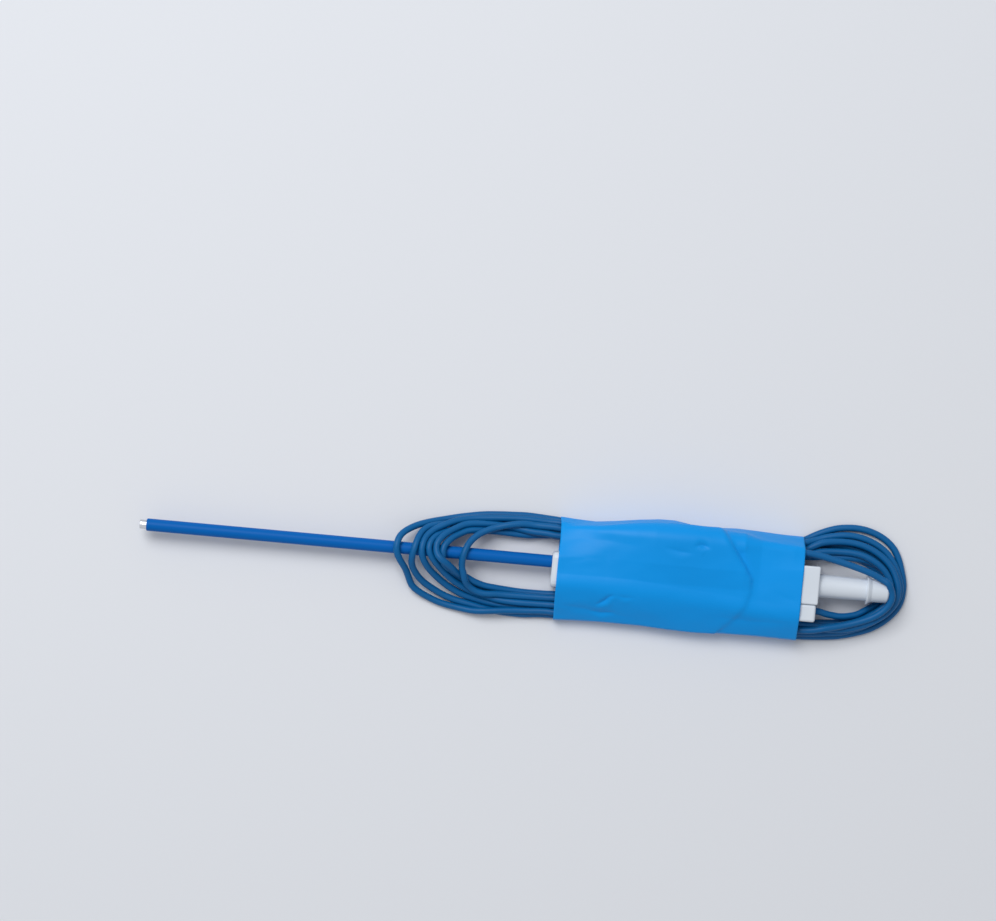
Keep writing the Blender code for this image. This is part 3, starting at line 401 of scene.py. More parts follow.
def keepClear(p):
    radius = cord["diameter"] / 2
    # strands cross over the suction tube and never under it
    tube, crossing = clear["tube"], clear["crossing"]
    across = (p[:, 0] < crossing["before"]) & (np.abs(p[:, 1]) < crossing["within"])
    over = axisHeight + tube["radius"] + radius - p[:, 1] ** 2 / crossing["fall"]
    p[across, 2] = np.maximum(p[across, 2], over[across])
    outOfRod(p, tube["start"], tube["end"], 0, axisHeight, tube["radius"])

    along = np.where((p[:, 0] > -radius) & (p[:, 0] < handle["end"]))[0]
    section = p[along, 1:]
    low = np.stack([between(handle["bottom"], p[along, 0]), np.full(len(along), handle["low"])], axis=1)
    high = np.stack([between(handle["top"], p[along, 0]), np.full(len(along), handle["high"])], axis=1)
    outOfRounded(section, low, high, handle["edge"])
    p[along, 1:] = section

    pastGrip = p[clear["gripPoints"]:]
    for points, (low, high, edge) in ((p, rearEnd["collar"]), (pastGrip, rearEnd["gripBlock"])):
        outOfRounded(points, np.array(low), np.array(high), edge)
    for start, end, rodRadius in rearEnd["rods"]:
        outOfRod(p, start, end, 0, axisHeight, rodRadius)
    outOfBall(p, (rearEnd["nozzleBall"]["x"], 0, axisHeight), rearEnd["nozzleBall"]["radius"])

    beforePlug = p[:-clear["plugPoints"]]
    front, rear = plug["front"] - clear["plugGap"], plug["rear"] + clear["plugGap"]
    tip, reliefEnd = plug["pinTip"] - clear["plugGap"], plug["reliefEnd"] + clear["reliefGap"]
    outOfRod(beforePlug, front, rear, plug["y"], plug["z"], plug["radius"])
    outOfRod(beforePlug, rear, reliefEnd, plug["y"], plug["z"], plug["thinRadius"])
    outOfRod(beforePlug, tip, front, plug["y"], plug["z"], plug["thinRadius"])

    side = clear["collarSide"]
    beside = (p[:, 0] > side["from"]) & (p[:, 0] < side["to"]) & (p[:, 1] > 0) & (p[:, 1] < side["y"])
    beside[-side["lastPoints"]:] = False
    p[beside, 1] += side["share"] * (side["y"] - p[beside, 1])

    inFilm = np.where((p[:, 0] > sleeve["start"]) & (p[:, 0] < sleeve["end"]))[0]
    section = p[inFilm, 1:]
    supports = beltTable[np.round(p[inFilm, 0]).astype(int)]
    for _ in range(2):
        over = section @ beltNormals.T + radius - supports
        worst = over.argmax(axis=1)
        amount = np.maximum(over[np.arange(len(worst)), worst], 0)
        section -= beltNormals[worst] * amount[:, None]
    p[inFilm, 1:] = section
    filmStart, filmEnd = clear["onFilm"]
    floorHeight = np.where((p[:, 0] > filmStart) & (p[:, 0] < filmEnd), handle["low"], 0.0)
    p[:, 2] = np.maximum(p[:, 2], floorHeight + radius)


def smoothed(values, amount):
    for span in (1, 2, 4):
        middle = 0.5 * (values[: -2 * span] + values[2 * span:])
        values[span:-span] += amount * (middle - values[span:-span])
    return values


settling = {
    # rounds, pull back to the route, weight and stiffness of each stage
    "stages": [(260, 0.10, 0.02, 0.10), (110, 0.06, 0.02, 0.05)],
    "underFilm": {"from": 0, "to": 92, "share": 0.2},  # the pull is weaker inside the sleeve
    "gap": 0.04,  # between strands that touch
    "watch": 4.2,  # distance within which points are watched
    "watchEvery": 8,
    "sameStretch": 6,  # points along the cord that don't push each other
    "passes": 3,
    "crossing": 4.0,  # lift of the later strand where two cross
    "sideBySide": 0.12,  # slant up to which strands aren't crossing
    "sharing": 0.45,
    "anchor": 0.02,  # hold on the route's height
    "fixed": (4, 6),  # points at the grip and at the plug that stay
}


def settle(p, home, rounds, pull, weight, stiffness, hold):
    # strands slide apart; their shift from home stays smooth, and their height is that of a stiff cord
    count = len(p)
    reach = cord["diameter"] + settling["gap"]
    atGrip, atPlug = settling["fixed"]
    for step in range(rounds):
        if step % settling["watchEvery"] == 0:
            squares = (p * p).sum(axis=1)
            apart = squares[:, None] + squares[None, :] - 2 * p @ p.T
            first, second = np.where(np.triu(apart < settling["watch"] ** 2, settling["sameStretch"]))
            way = np.gradient(p, axis=0)
            way /= np.linalg.norm(way, axis=1, keepdims=True)
        shift = smoothed(p - home, stiffness)
        shift[:, :2] *= 1 - pull * hold[:, None]
        heights = smoothed(p[:, 2].copy(), stiffness)
        heights -= weight + settling["anchor"] * (heights - home[:, 2])
        p[:, :2] = home[:, :2] + shift[:, :2]
        p[:, 2] = heights
        for _ in range(settling["passes"]):
            offset = p[first] - p[second]
            distance = np.maximum(np.sqrt((offset * offset).sum(axis=1)), 1e-6)
            hit = distance < reach
            a, b, offset = first[hit], second[hit], offset[hit]
            need = reach - distance[hit]
            slant = 1 - (way[a] * way[b]).sum(axis=1) ** 2
            # where strands cross, the later one goes above
            offset[:, 2] -= settling["crossing"] * np.maximum(slant - settling["sideBySide"], 0)
            push = offset / np.linalg.norm(offset, axis=1, keepdims=True) * (need * 0.5)[:, None]
            hits = np.bincount(a, minlength=count) + np.bincount(b, minlength=count)
            for axis in range(3):
                moved = np.bincount(a, push[:, axis], count) - np.bincount(b, push[:, axis], count)
                p[:, axis] += moved / np.maximum(1, hits * settling["sharing"])
            keepClear(p)
            p[:atGrip], p[-atPlug:] = home[:atGrip], home[-atPlug:]
    return p


home = evenly(smoothCurve(cordRoute(), 1.0), cord["spacing"])
underFilm = settling["underFilm"]
filmed = (home[:, 0] > underFilm["from"]) & (home[:, 0] < underFilm["to"])
hold = np.where(filmed, underFilm["share"], 1.0)
cordPath = home.copy()
for rounds, pull, weight, stiffness in settling["stages"]:
    cordPath = settle(cordPath, home, rounds, pull, weight, stiffness, hold)
cordPath = evenly(cordPath, cord["spacing"])


def sweepTree():
    # a round section carried along a curve, with closed ends
    tree = bpy.data.node_groups.new("roundSweep", "GeometryNodeTree")
    tree.is_modifier = True
    link = tree.links.new
    face = tree.interface
    face.new_socket("Path", in_out="INPUT", socket_type="NodeSocketGeometry")
    face.new_socket("Radius", in_out="INPUT", socket_type="NodeSocketFloat")
    face.new_socket("Sides", in_out="INPUT", socket_type="NodeSocketInt")
    face.new_socket("Finish", in_out="INPUT", socket_type="NodeSocketMaterial")
    face.new_socket("Geometry", in_out="OUTPUT", socket_type="NodeSocketGeometry")
    given = tree.nodes.new("NodeGroupInput")
    section = tree.nodes.new("GeometryNodeCurvePrimitiveCircle")
    sweep = tree.nodes.new("GeometryNodeCurveToMesh")
    sweep.inputs["Fill Caps"].default_value = True
    smooth = tree.nodes.new("GeometryNodeSetShadeSmooth")
    real = tree.nodes.new("GeometryNodeRealizeInstances")
    finish = tree.nodes.new("GeometryNodeSetMaterial")
    made = tree.nodes.new("NodeGroupOutput")
    link(given.outputs["Sides"], section.inputs["Resolution"])
    link(given.outputs["Radius"], section.inputs["Radius"])
    link(given.outputs["Path"], sweep.inputs["Curve"])
    link(section.outputs["Curve"], sweep.inputs["Profile Curve"])
    link(sweep.outputs["Mesh"], smooth.inputs["Geometry"])
    link(smooth.outputs["Geometry"], real.inputs["Geometry"])
    link(real.outputs["Geometry"], finish.inputs["Geometry"])
    link(given.outputs["Finish"], finish.inputs["Material"])
    link(finish.outputs["Geometry"], made.inputs["Geometry"])
    return tree


def sweptPiece(name, path, radius, sides, finish):
    # the sweep along the path's points, kept as a plain mesh
    curve = bpy.data.curves.new(name + "_path", "CURVE")
    curve.dimensions = "3D"
    spline = curve.splines.new("POLY")
    spline.points.add(len(path) - 1)
    for point, place in zip(spline.points, toRow(path)):
        point.co = (*place, 1)
    guide = bpy.data.objects.new(name + "_path", curve)
    bpy.context.collection.objects.link(guide)
    tree = sweepTree()
    modifier = guide.modifiers.new("sweep", "NODES")
    modifier.node_group = tree
    wanted = {"Radius": radius / 1000, "Sides": sides, "Finish": finish}
    for socket in tree.interface.items_tree:
        if socket.in_out == "INPUT" and socket.name in wanted:
            modifier[socket.identifier] = wanted[socket.name]
    bpy.context.view_layer.update()
    evaluated = guide.evaluated_get(bpy.context.evaluated_depsgraph_get())
    mesh = bpy.data.meshes.new_from_object(evaluated)
    mesh.name = name
    bpy.data.objects.remove(guide)
    bpy.data.curves.remove(curve)
    mesh.set_sharp_from_angle(angle=math.radians(60))
    piece = bpy.data.objects.new(name, mesh)
    bpy.context.collection.objects.link(piece)
    return piece


cordFinish = bpy.data.materials.new("cord_first")  # stands in until the finishes are made
cordPiece = sweptPiece("cord", cordPath, cord["diameter"] / 2, cord["sides"], cordFinish)
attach(cordPiece, "root")
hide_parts("cord_lead_out", "cord_hank", "cord_plug_end")

# Film sleeve

creases = [
    # points in plan, depth, width, and the raised lip beside it
    {"line": [(62.4, 15.0), (65.2, 12.2), (67.4, 9.6), (69.3, 7.0), (71.0, 4.2), (72.8, 0.6)],
     "depth": 1.0, "width": 1.0, "lip": 0.1},
    {"line": [(51.0, 10.4), (53.4, 11.3), (55.4, 11.0), (57.0, 10.2)],
     "depth": 0.7, "width": 0.9, "lip": 0.16},
    {"line": [(17.0, -14.4), (18.8, -13.5), (20.6, -12.3), (22.0, -10.8), (24.4, -9.8)],
     "depth": 0.65, "width": 0.65, "lip": 0.24},
    {"line": [(24.4, -9.8), (27.6, -10.6), (31.0, -10.2)],
     "depth": 0.22, "width": 0.6, "lip": 0.1},
    {"line": [(3.0, 8.0), (10.0, 9.6), (20.0, 9.8), (33.0, 8.6)],
     "depth": 0.16, "width": 1.6, "lip": 0.05},
    {"line": [(60.0, -14.0), (75.0, -15.2), (92.5, -14.4)],
     "depth": 0.18, "width": 1.2, "lip": 0.07},
    {"line": [(2.0, -15.2), (16.0, -16.4), (34.0, -17.8)],
     "depth": 0.24, "width": 1.1, "lip": 0.10},
    {"line": [(14.5, -16.6), (19.5, -17.3), (25.5, -16.2)],
     "depth": 0.34, "width": 0.6, "lip": 0.14},
    {"line": [(76.0, 12.8), (84.0, 13.6), (92.5, 12.6)],
     "depth": 0.2, "width": 0.9, "lip": 0.1},
    {"line": [(80.0, -3.0), (86.0, -5.5), (92.5, -6.8)],
     "depth": 0.14, "width": 1.3, "lip": 0.06},
    {"line": [(40.0, 9.4), (46.0, 8.2), (51.5, 8.0)],
     "depth": 0.3, "width": 0.9, "lip": 0.1},
    {"line": [(6.0, 1.0), (12.0, 2.8), (19.0, 3.0)],
     "depth": 0.12, "width": 0.9, "lip": 0.08},
]
foldShape = {
    "fade": 1.3,  # towards its ends
    "width": (0.7, 0.5),  # at its ends, and added in the middle
    "sharpness": 0.75,
    "lipAt": 1.9,
    "lipWidth": 1.5,
    "lipSides": (0.55, 0.45),  # on both sides, and added on one
}
slack = {
    # how far the film stands out beside the handle, along x
    "bulge": [(0, 1.15), (34, 1.05), (48, 0.6), (93, 0.35)],
    "fromEdge": 1.6,
    "ontoHandle": 5.0,
    "above": 4,
    "softening": (3, 60),  # steps for the whole outline, and for the slack film
}
waves = {
    # height, seed and size
    "broad": (0.11, 3, 5.0),
    "fine": (0.05, 5, 1.6),
    "ends": (0.16, 8, 2.4),
    "cutEdge": (0.35, 11, 6.0),
    "endReach": 5.0,
    "endStretch": 0.4,
    # each is a sum of sines
    "count": 14,
    "along": 0.7,
    "around": 1.0,
    "strengths": (0.4, 1.0),
    "divisor": 5,
}
# the end of the hump that the film makes over the handle's middle
hump = {
    "line": [(59.0, 19.5), (61.0, 17.4), (63.8, 14.0), (67.1, 10.4), (70.4, 5.4), (73.0, 0.2), (73.3, -4.6),
             (71.8, -9.8), (68.6, -14.4), (64.6, -18.2)],
    "heights": [(-20, 0.5), (-4, 0.6), (3, 1.5), (20, 1.5)],  # across the handle
    "soft": 0.8, "from": 8.0, "to": 50.0,
}


def filmOutline(x, count):
    # the taut outline round the circles at x, with its points spread evenly from the middle of the underside
    angles = 2 * np.pi * np.arange(sleeve["outlinePoints"]) / sleeve["outlinePoints"] - np.pi / 2
    normals = np.stack([np.cos(angles), np.sin(angles)], axis=1)
    circles = np.array(sleeveCircles(x), float)
    widest = (normals @ circles[:, :2].T + circles[:, 2]).argmax(axis=1)
    outline = circles[widest, :2] + circles[widest, 2:] * normals
    outline = np.concatenate([[(0.0, outline[0, 1])], outline])
    closed = np.concatenate([outline, outline[:1]])
    lengths = np.concatenate([[0], np.cumsum(np.linalg.norm(np.diff(closed, axis=0), axis=1))])
    at = np.linspace(0, lengths[-1], count, endpoint=False)
    even = np.stack([np.interp(at, lengths, closed[:, k]) for k in range(2)], axis=1)
    # beside the handle the film is slack: it bulges a little and takes no sharp edge
    handleSide = between(handle["bottom"], x) + slack["ontoHandle"]
    pileSide = between(sleeve["fingerEdge"], x) + slack["fromEdge"]
    t = np.clip((even[:, 0] - pileSide) / (handleSide - pileSide), 0, 1) * (even[:, 1] > slack["above"])
    loose = 4 * t * (1 - t)
    along = np.roll(even, -1, axis=0) - np.roll(even, 1, axis=0)
    outward = np.stack([along[:, 1], -along[:, 0]], axis=1) / np.linalg.norm(along, axis=1, keepdims=True)
    even += outward * (between(slack["bulge"], x) * loose)[:, None]
    allSteps, slackSteps = slack["softening"]
    for step in range(slackSteps):
        soft = 0.25 * np.roll(even, 1, axis=0) + 0.5 * even + 0.25 * np.roll(even, -1, axis=0)
        share = 1.0 if step < allSteps else np.minimum(1, 3 * loose)[:, None]
        even += share * (soft - even)
    return even, lengths[-1]


def ripple(x, s, seed, size):
    # smooth made-up waves, the same on every run
    shape = np.zeros_like(x)
    rng = np.random.default_rng(seed)
    for _ in range(waves["count"]):
        along, around = rng.normal(0, waves["along"] / size), rng.normal(0, waves["around"] / size)
        shape += rng.uniform(*waves["strengths"]) * np.sin(along * x + around * s + rng.uniform(0, 6.28))
    return shape / waves["divisor"]


def lineDistance(x, y, line):
    # how far each place is from a line in plan, on which side of it, and how far along it
    line = np.array(line, float)
    best = np.full(x.shape, 1e9)
    side, along = np.zeros(x.shape), np.zeros(x.shape)
    for k, ((x0, y0), (x1, y1)) in enumerate(zip(line, line[1:])):
        dx, dy = x1 - x0, y1 - y0
        t = np.clip(((x - x0) * dx + (y - y0) * dy) / (dx * dx + dy * dy), 0, 1)
        ox, oy = x - (x0 + t * dx), y - (y0 + t * dy)
        distance = np.hypot(ox, oy)
        closer = distance < best
        best = np.where(closer, distance, best)
        side = np.where(closer, np.sign(ox * dy - oy * dx), side)
        along = np.where(closer, (k + t) / (len(line) - 1), along)
    return best, side, along


def clearance(x, y, z):
    # how far a place outside the plug and the handle is from them
    gap, farAway = clear["plugGap"], sleeve["farAway"]
    inPlug = (x > plug["front"] - gap) & (x < plug["rear"] + gap)
    fromPlug = np.where(inPlug, np.hypot(y - plug["y"], z - plug["z"]) - plug["radius"], farAway)
    edge = handle["edge"]
    low, high = between(handle["bottom"], x) + edge, between(handle["top"], x) - edge
    sideways = np.maximum(np.maximum(low - y, y - high), 0)
    upward = np.maximum(z - (handle["high"] - edge), 0)
    fromHandle = np.where(z > sleeve["besideHandle"], np.hypot(sideways, upward) - edge, farAway)
    return np.minimum(fromPlug, fromHandle)


def makeSleeve():
    rows, around = sleeve["rows"], sleeve["around"]
    xs = np.linspace(sleeve["start"], sleeve["end"], rows)
    outlines, girths = zip(*[filmOutline(x, around) for x in xs])
    grid = np.zeros((rows, around, 3))
    grid[:, :, 0] = xs[:, None]
    grid[:, :, 1:] = np.array(outlines)
    alongX = np.gradient(grid, axis=0)
    aroundS = np.roll(grid, -1, axis=1) - np.roll(grid, 1, axis=1)
    normal = np.cross(aroundS, alongX)
    normal /= np.linalg.norm(normal, axis=2, keepdims=True)
    s = np.arange(around)[None, :] * (np.mean(girths) / around) + np.zeros((rows, 1))
    x, y, z = grid[:, :, 0], grid[:, :, 1], grid[:, :, 2]
    up = np.clip(normal[:, :, 2] * 3, 0, 1)
    out = np.zeros((rows, around))
    for crease in creases:
        distance, side, along = lineDistance(x, y, crease["line"])
        # sharp in the middle of its length and dying out at its ends, with the film lifted on one side
        strength = up * np.sin(np.pi * np.clip(along, 0, 1)) ** foldShape["fade"]
        w = crease["width"] * (foldShape["width"][0] + foldShape["width"][1] * strength)
        out -= strength * crease["depth"] * np.exp(-((distance / w) ** 2) ** foldShape["sharpness"])
        lifted = foldShape["lipSides"][0] + foldShape["lipSides"][1] * np.tanh(distance * side / w)
        fromLip = (distance - foldShape["lipAt"] * w) / (foldShape["lipWidth"] * w)
        out += strength * crease["lip"] * np.exp(-(fromLip ** 2)) * lifted
    distance, side, _ = lineDistance(x, y, hump["line"])
    rise = np.clip((x - hump["from"]) / (hump["to"] - hump["from"]), 0, 1)
    step = 0.5 + 0.5 * np.tanh(distance * side / hump["soft"])
    out += up * between(hump["heights"], y) * rise * rise * (3 - 2 * rise) * step
    fromStart, fromEnd = (x - sleeve["start"]) / waves["endReach"], (sleeve["end"] - x) / waves["endReach"]
    ends = np.exp(-(fromStart ** 2)) + np.exp(-(fromEnd ** 2))
    for height, seed, size in (waves["broad"], waves["fine"]):
        out += height * ripple(x, s, seed, size)
    height, seed, size = waves["ends"]
    out += ends * height * ripple(x * waves["endStretch"], s, seed, size)
    out = np.maximum(out, sleeve["gap"] - clearance(x, y, z))
    away = z > sleeve["flatBelow"]  # the underside stays flat on the surface
    grid += normal * (out * away)[:, :, None]
    height, seed, size = waves["cutEdge"]
    grid[:, :, 0] += ripple(x, s, seed, size) * (height * ends)
    faces = []
    for i in range(rows - 1):
        for j in range(around):
            k = (j + 1) % around
            faces.append((i * around + j, i * around + k, (i + 1) * around + k, (i + 1) * around + j))
    uvs = [(float(a), float(b)) for a, b in zip((s / 100).ravel(), (x / 100).ravel())]
    piece = meshObject("film_sleeve", grid.reshape(-1, 3), faces, 60, uvs)
    wall = piece.modifiers.new("film", "SOLIDIFY")
    wall.thickness = sleeve["film"] / 1000
    wall.offset = 1
    return piece, float(np.mean(girths))


sleevePiece, girth = makeSleeve()
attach(sleevePiece, "root")
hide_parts("cord_sleeve")
print(f"stage: sleeve, {girth:.0f} mm round")

# Hose connector, cord grip and the tube's blue insulation, with their moulded roundings


def rounded(profile, steps=5):
    # points x, r, rounding of a closed outline, with each corner turned into an arc
    made = []
    count = len(profile)
    for k in range(count):
        corner = np.array(profile[k][:2], float)
        radius = profile[k][2] if len(profile[k]) > 2 else 0.0
        before = np.array(profile[k - 1][:2], float) - corner
        after = np.array(profile[(k + 1) % count][:2], float) - corner
        if radius <= 0:
            made.append(tuple(corner))
            continue
        lengths = np.linalg.norm(before), np.linalg.norm(after)
        before, after = before / lengths[0], after / lengths[1]
        half = math.acos(float(np.clip(before @ after, -1, 1))) / 2
        reach = min(radius / math.tan(half), 0.45 * min(lengths))
        start, end = corner + before * reach, corner + after * reach
        for i in range(steps + 1):
            t = i / steps
            made.append(tuple((1 - t) ** 2 * start + 2 * t * (1 - t) * corner + t * t * end))
    return made


def turned(name, profile, around=96, aside=0.0):
    # a closed outline in x and r, turned about the suction axis or an axis beside it
    outline = rounded(profile)
    rows = len(outline)
    points, faces = [], []
    for x, r in outline:
        for k in range(around):
            angle = 2 * math.pi * k / around
            points.append((x, aside + r * math.cos(angle), axisHeight + r * math.sin(angle)))
    for i in range(rows):
        for k in range(around):
            a, b = i * around, ((i + 1) % rows) * around
            n = (k + 1) % around
            faces.append((a + k, a + n, b + n, b + k))
    return meshObject(name, points, faces, 30)


def block(name, low, high, edge, segments=5):
    x0, y0, z0 = low
    x1, y1, z1 = high
    points = [(x, y, z) for x in (x0, x1) for y in (y0, y1) for z in (z0, z1)]
    faces = [(0, 1, 3, 2), (4, 6, 7, 5), (0, 4, 5, 1), (2, 3, 7, 6), (0, 2, 6, 4), (1, 5, 7, 3)]
    piece = meshObject(name, points, faces, 30)
    bevel = piece.modifiers.new("edges", "BEVEL")
    bevel.width = edge / 1000
    bevel.segments = segments
    bevel.limit_method = "NONE"
    return piece


connector = {
    "low": (90.3, -7.05, 0.9),
    "high": (98.3, 7.05, 13.5),
    "edge": 0.6,
    # flange, neck, stem, barb, nozzle and bore
    "body": [
        (79.8, 1.9, 0.1), (79.8, 2.6, 0.25), (86.8, 2.6, 0.15), (86.8, 4.8, 0.1), (88.3, 4.8, 0.1),
        (88.3, 3.8, 0.1), (94.0, 3.8), (97.0, 4.9), (98.2, 4.9), (98.32, 4.28, 0.5), (116.2, 4.0, 0.12),
        (116.16, 5.4, 0.07), (116.5, 5.4, 0.12), (118.0, 4.32, 0.4), (123.75, 4.2, 0.5),
        (124.3, 3.65, 0.25), (124.3, 2.75, 0.15), (123.9, 2.6, 0.2), (97.0, 2.55), (92.0, 1.95, 0.3),
    ],
}
collar = block("connector_collar", connector["low"], connector["high"], connector["edge"])
hoseBarb = turned("connector_barb", connector["body"])
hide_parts("hose_connector")

grip = {
    "low": (90.3, -13.45, 1.3),
    "high": (97.8, -7.12, 13.1),
    "edge": 0.95,
    "edgeSteps": 6,
    "drop": -9.4,
    "bushAround": 48,
    # the bush round the cord, with the neck and flange that hold the block in the handle's rear wall
    "bush": [
        (87.1, 1.45), (87.1, 2.35, 0.1), (88.3, 2.35, 0.1), (88.3, 2.0), (97.0, 2.0), (97.2, 2.35),
        (98.0, 2.2, 0.3), (98.0, 1.5, 0.15),
    ],
}
gripBlock = block("grip_block", grip["low"], grip["high"], grip["edge"], grip["edgeSteps"])
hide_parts("cord_grip")
gripBush = turned("grip_bush", grip["bush"], grip["bushAround"], grip["drop"])

insulationSkin = {
    "outline": [(-149.9, 1.72, 0.05), (-149.9, 2.15, 0.15), (-149.6, 2.3, 0.3), (8.5, 2.3, 0.1), (8.5, 1.97)],
    "around": 80,
}
insulation = turned("insulation_skin", insulationSkin["outline"], insulationSkin["around"])
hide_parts("tube_insulation")
for piece in (collar, hoseBarb, gripBlock, gripBush, insulation):
    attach(piece, "root")
print("stage: connector, grip and insulation")

# Materials


def shaderGroup(name, inputs, outputs):
    group = bpy.data.node_groups.new(name, "ShaderNodeTree")
    for label, kind, value in inputs:
        socket = group.interface.new_socket(label, in_out="INPUT", socket_type=kind)
        if value is not None:
            socket.default_value = value
    for label, kind in outputs:
        group.interface.new_socket(label, in_out="OUTPUT", socket_type=kind)
    return group, group.nodes.new("NodeGroupInput"), group.nodes.new("NodeGroupOutput")


skinDetail = {"grain": 4, "drift": 3, "driftHeight": 3.0}


def mouldedSkin():
    # fine grain and slow drift of a moulded or extruded plastic surface
    group, given, made = shaderGroup(
        "mouldedSkin",
        [("Vector", "NodeSocketVector", None), ("Grain", "NodeSocketFloat", 1500.0),
         ("Drift", "NodeSocketFloat", 60.0), ("Contrast", "NodeSocketFloat", 0.06)],
        [("Height", "NodeSocketFloat"), ("Shade", "NodeSocketFloat"), ("Gloss", "NodeSocketFloat")],
    )
    link = group.links.new
    grain = group.nodes.new("ShaderNodeTexNoise")
    grain.inputs["Detail"].default_value = skinDetail["grain"]
    link(given.outputs["Vector"], grain.inputs["Vector"])
    link(given.outputs["Grain"], grain.inputs["Scale"])
    drift = group.nodes.new("ShaderNodeTexNoise")
    drift.inputs["Detail"].default_value = skinDetail["drift"]
    link(given.outputs["Vector"], drift.inputs["Vector"])
    link(given.outputs["Drift"], drift.inputs["Scale"])
    both = group.nodes.new("ShaderNodeMath")
    both.operation = "MULTIPLY_ADD"
    both.inputs[1].default_value = skinDetail["driftHeight"]
    link(drift.outputs[0], both.inputs[0])
    link(grain.outputs[0], both.inputs[2])
    link(both.outputs[0], made.inputs["Height"])
    centred = group.nodes.new("ShaderNodeMath")
    centred.operation = "SUBTRACT"
    centred.inputs[1].default_value = 0.5
    link(drift.outputs[0], centred.inputs[0])
    scaled = group.nodes.new("ShaderNodeMath")
    scaled.operation = "MULTIPLY_ADD"
    scaled.inputs[2].default_value = 1.0
    link(centred.outputs[0], scaled.inputs[0])
    link(given.outputs["Contrast"], scaled.inputs[1])
    link(scaled.outputs[0], made.inputs["Shade"])
    link(grain.outputs[0], made.inputs["Gloss"])
    return group


skinGroup = mouldedSkin()

finishes = {
    "white_plastic": {"color": (0.640, 0.700, 0.780), "roughness": 0.34, "specular": 0.5,
                      "grain": 1400, "drift": 70, "contrast": 0.10, "bump": 0.10},
    "tube_insulation": {"color": (0.001, 0.118, 0.450), "roughness": 0.40, "specular": 0.08,
                        "grain": 900, "drift": 40, "contrast": 0.35, "bump": 0.10, "stretch": 0.08},
    "cord_jacket": {"color": (0.001, 0.104, 0.300), "roughness": 0.42, "specular": 0.20,
                    "grain": 1100, "drift": 45, "contrast": 0.35, "bump": 0.14},
    "plug_plastic": {"color": (0.001, 0.104, 0.300), "roughness": 0.45, "specular": 0.25,
                     "grain": 1500, "drift": 60, "contrast": 0.2, "bump": 0.12},
    "sleeve_film": {"color": (0.001, 0.282, 0.770), "roughness": 0.42, "specular": 0.16,
                    "grain": 420, "drift": 40, "contrast": 0.22, "bump": 0.14, "stretch": 0.5},
    "seal_rubber": {"color": (0.03, 0.03, 0.03), "roughness": 0.6, "specular": 0.4,
                    "grain": 1800, "drift": 100, "contrast": 0.2, "bump": 0.15},
}
metals = {
    "tube_steel": {"color": (0.60, 0.61, 0.63), "roughness": 0.26, "stretch": 0.03},
    "spring_steel": {"color": (0.62, 0.63, 0.65), "roughness": 0.22, "stretch": 0.1},
    "plated_brass": {"color": (0.78, 0.66, 0.42), "roughness": 0.28, "stretch": 1.0},
    "conductor_copper": {"color": (0.80, 0.42, 0.26), "roughness": 0.35, "stretch": 0.2},
}

plasticSurface = {"glossRange": 0.06, "bumpDistance": 0.0002}
metalSurface = {"lines": 4000, "detail": 3, "glossRange": (-0.08, 0.10), "bump": 0.06, "bumpDistance": 0.0001}


def plasticMaterial(name, look):
    made = bpy.data.materials.new(name)
    made.use_nodes = True
    tree = made.node_tree
    link = tree.links.new
    shader = tree.nodes["Principled BSDF"]
    shader.inputs["Specular IOR Level"].default_value = look["specular"]
    place = tree.nodes.new("ShaderNodeTexCoord")
    mapping = tree.nodes.new("ShaderNodeMapping")
    mapping.inputs["Scale"].default_value = (look.get("stretch", 1.0), 1.0, 1.0)
    link(place.outputs["Object"], mapping.inputs["Vector"])
    skin = tree.nodes.new("ShaderNodeGroup")
    skin.node_tree = skinGroup
    skin.inputs["Grain"].default_value = look["grain"]
    skin.inputs["Drift"].default_value = look["drift"]
    skin.inputs["Contrast"].default_value = look["contrast"]
    link(mapping.outputs[0], skin.inputs["Vector"])
    tint = tree.nodes.new("ShaderNodeMix")
    tint.data_type = "RGBA"
    tint.blend_type = "MULTIPLY"
    tint.inputs["Factor"].default_value = 1.0
    tint.inputs[6].default_value = (*look["color"], 1)
    link(skin.outputs["Shade"], tint.inputs[7])
    link(tint.outputs[2], shader.inputs["Base Color"])
    gloss = tree.nodes.new("ShaderNodeMapRange")
    gloss.inputs["To Min"].default_value = look["roughness"] - plasticSurface["glossRange"]
    gloss.inputs["To Max"].default_value = look["roughness"] + plasticSurface["glossRange"]
    link(skin.outputs["Gloss"], gloss.inputs["Value"])
    link(gloss.outputs[0], shader.inputs["Roughness"])
    bump = tree.nodes.new("ShaderNodeBump")
    bump.inputs["Strength"].default_value = look["bump"]
    bump.inputs["Distance"].default_value = plasticSurface["bumpDistance"]
    link(skin.outputs["Height"], bump.inputs["Height"])
    link(bump.outputs[0], shader.inputs["Normal"])
    return made


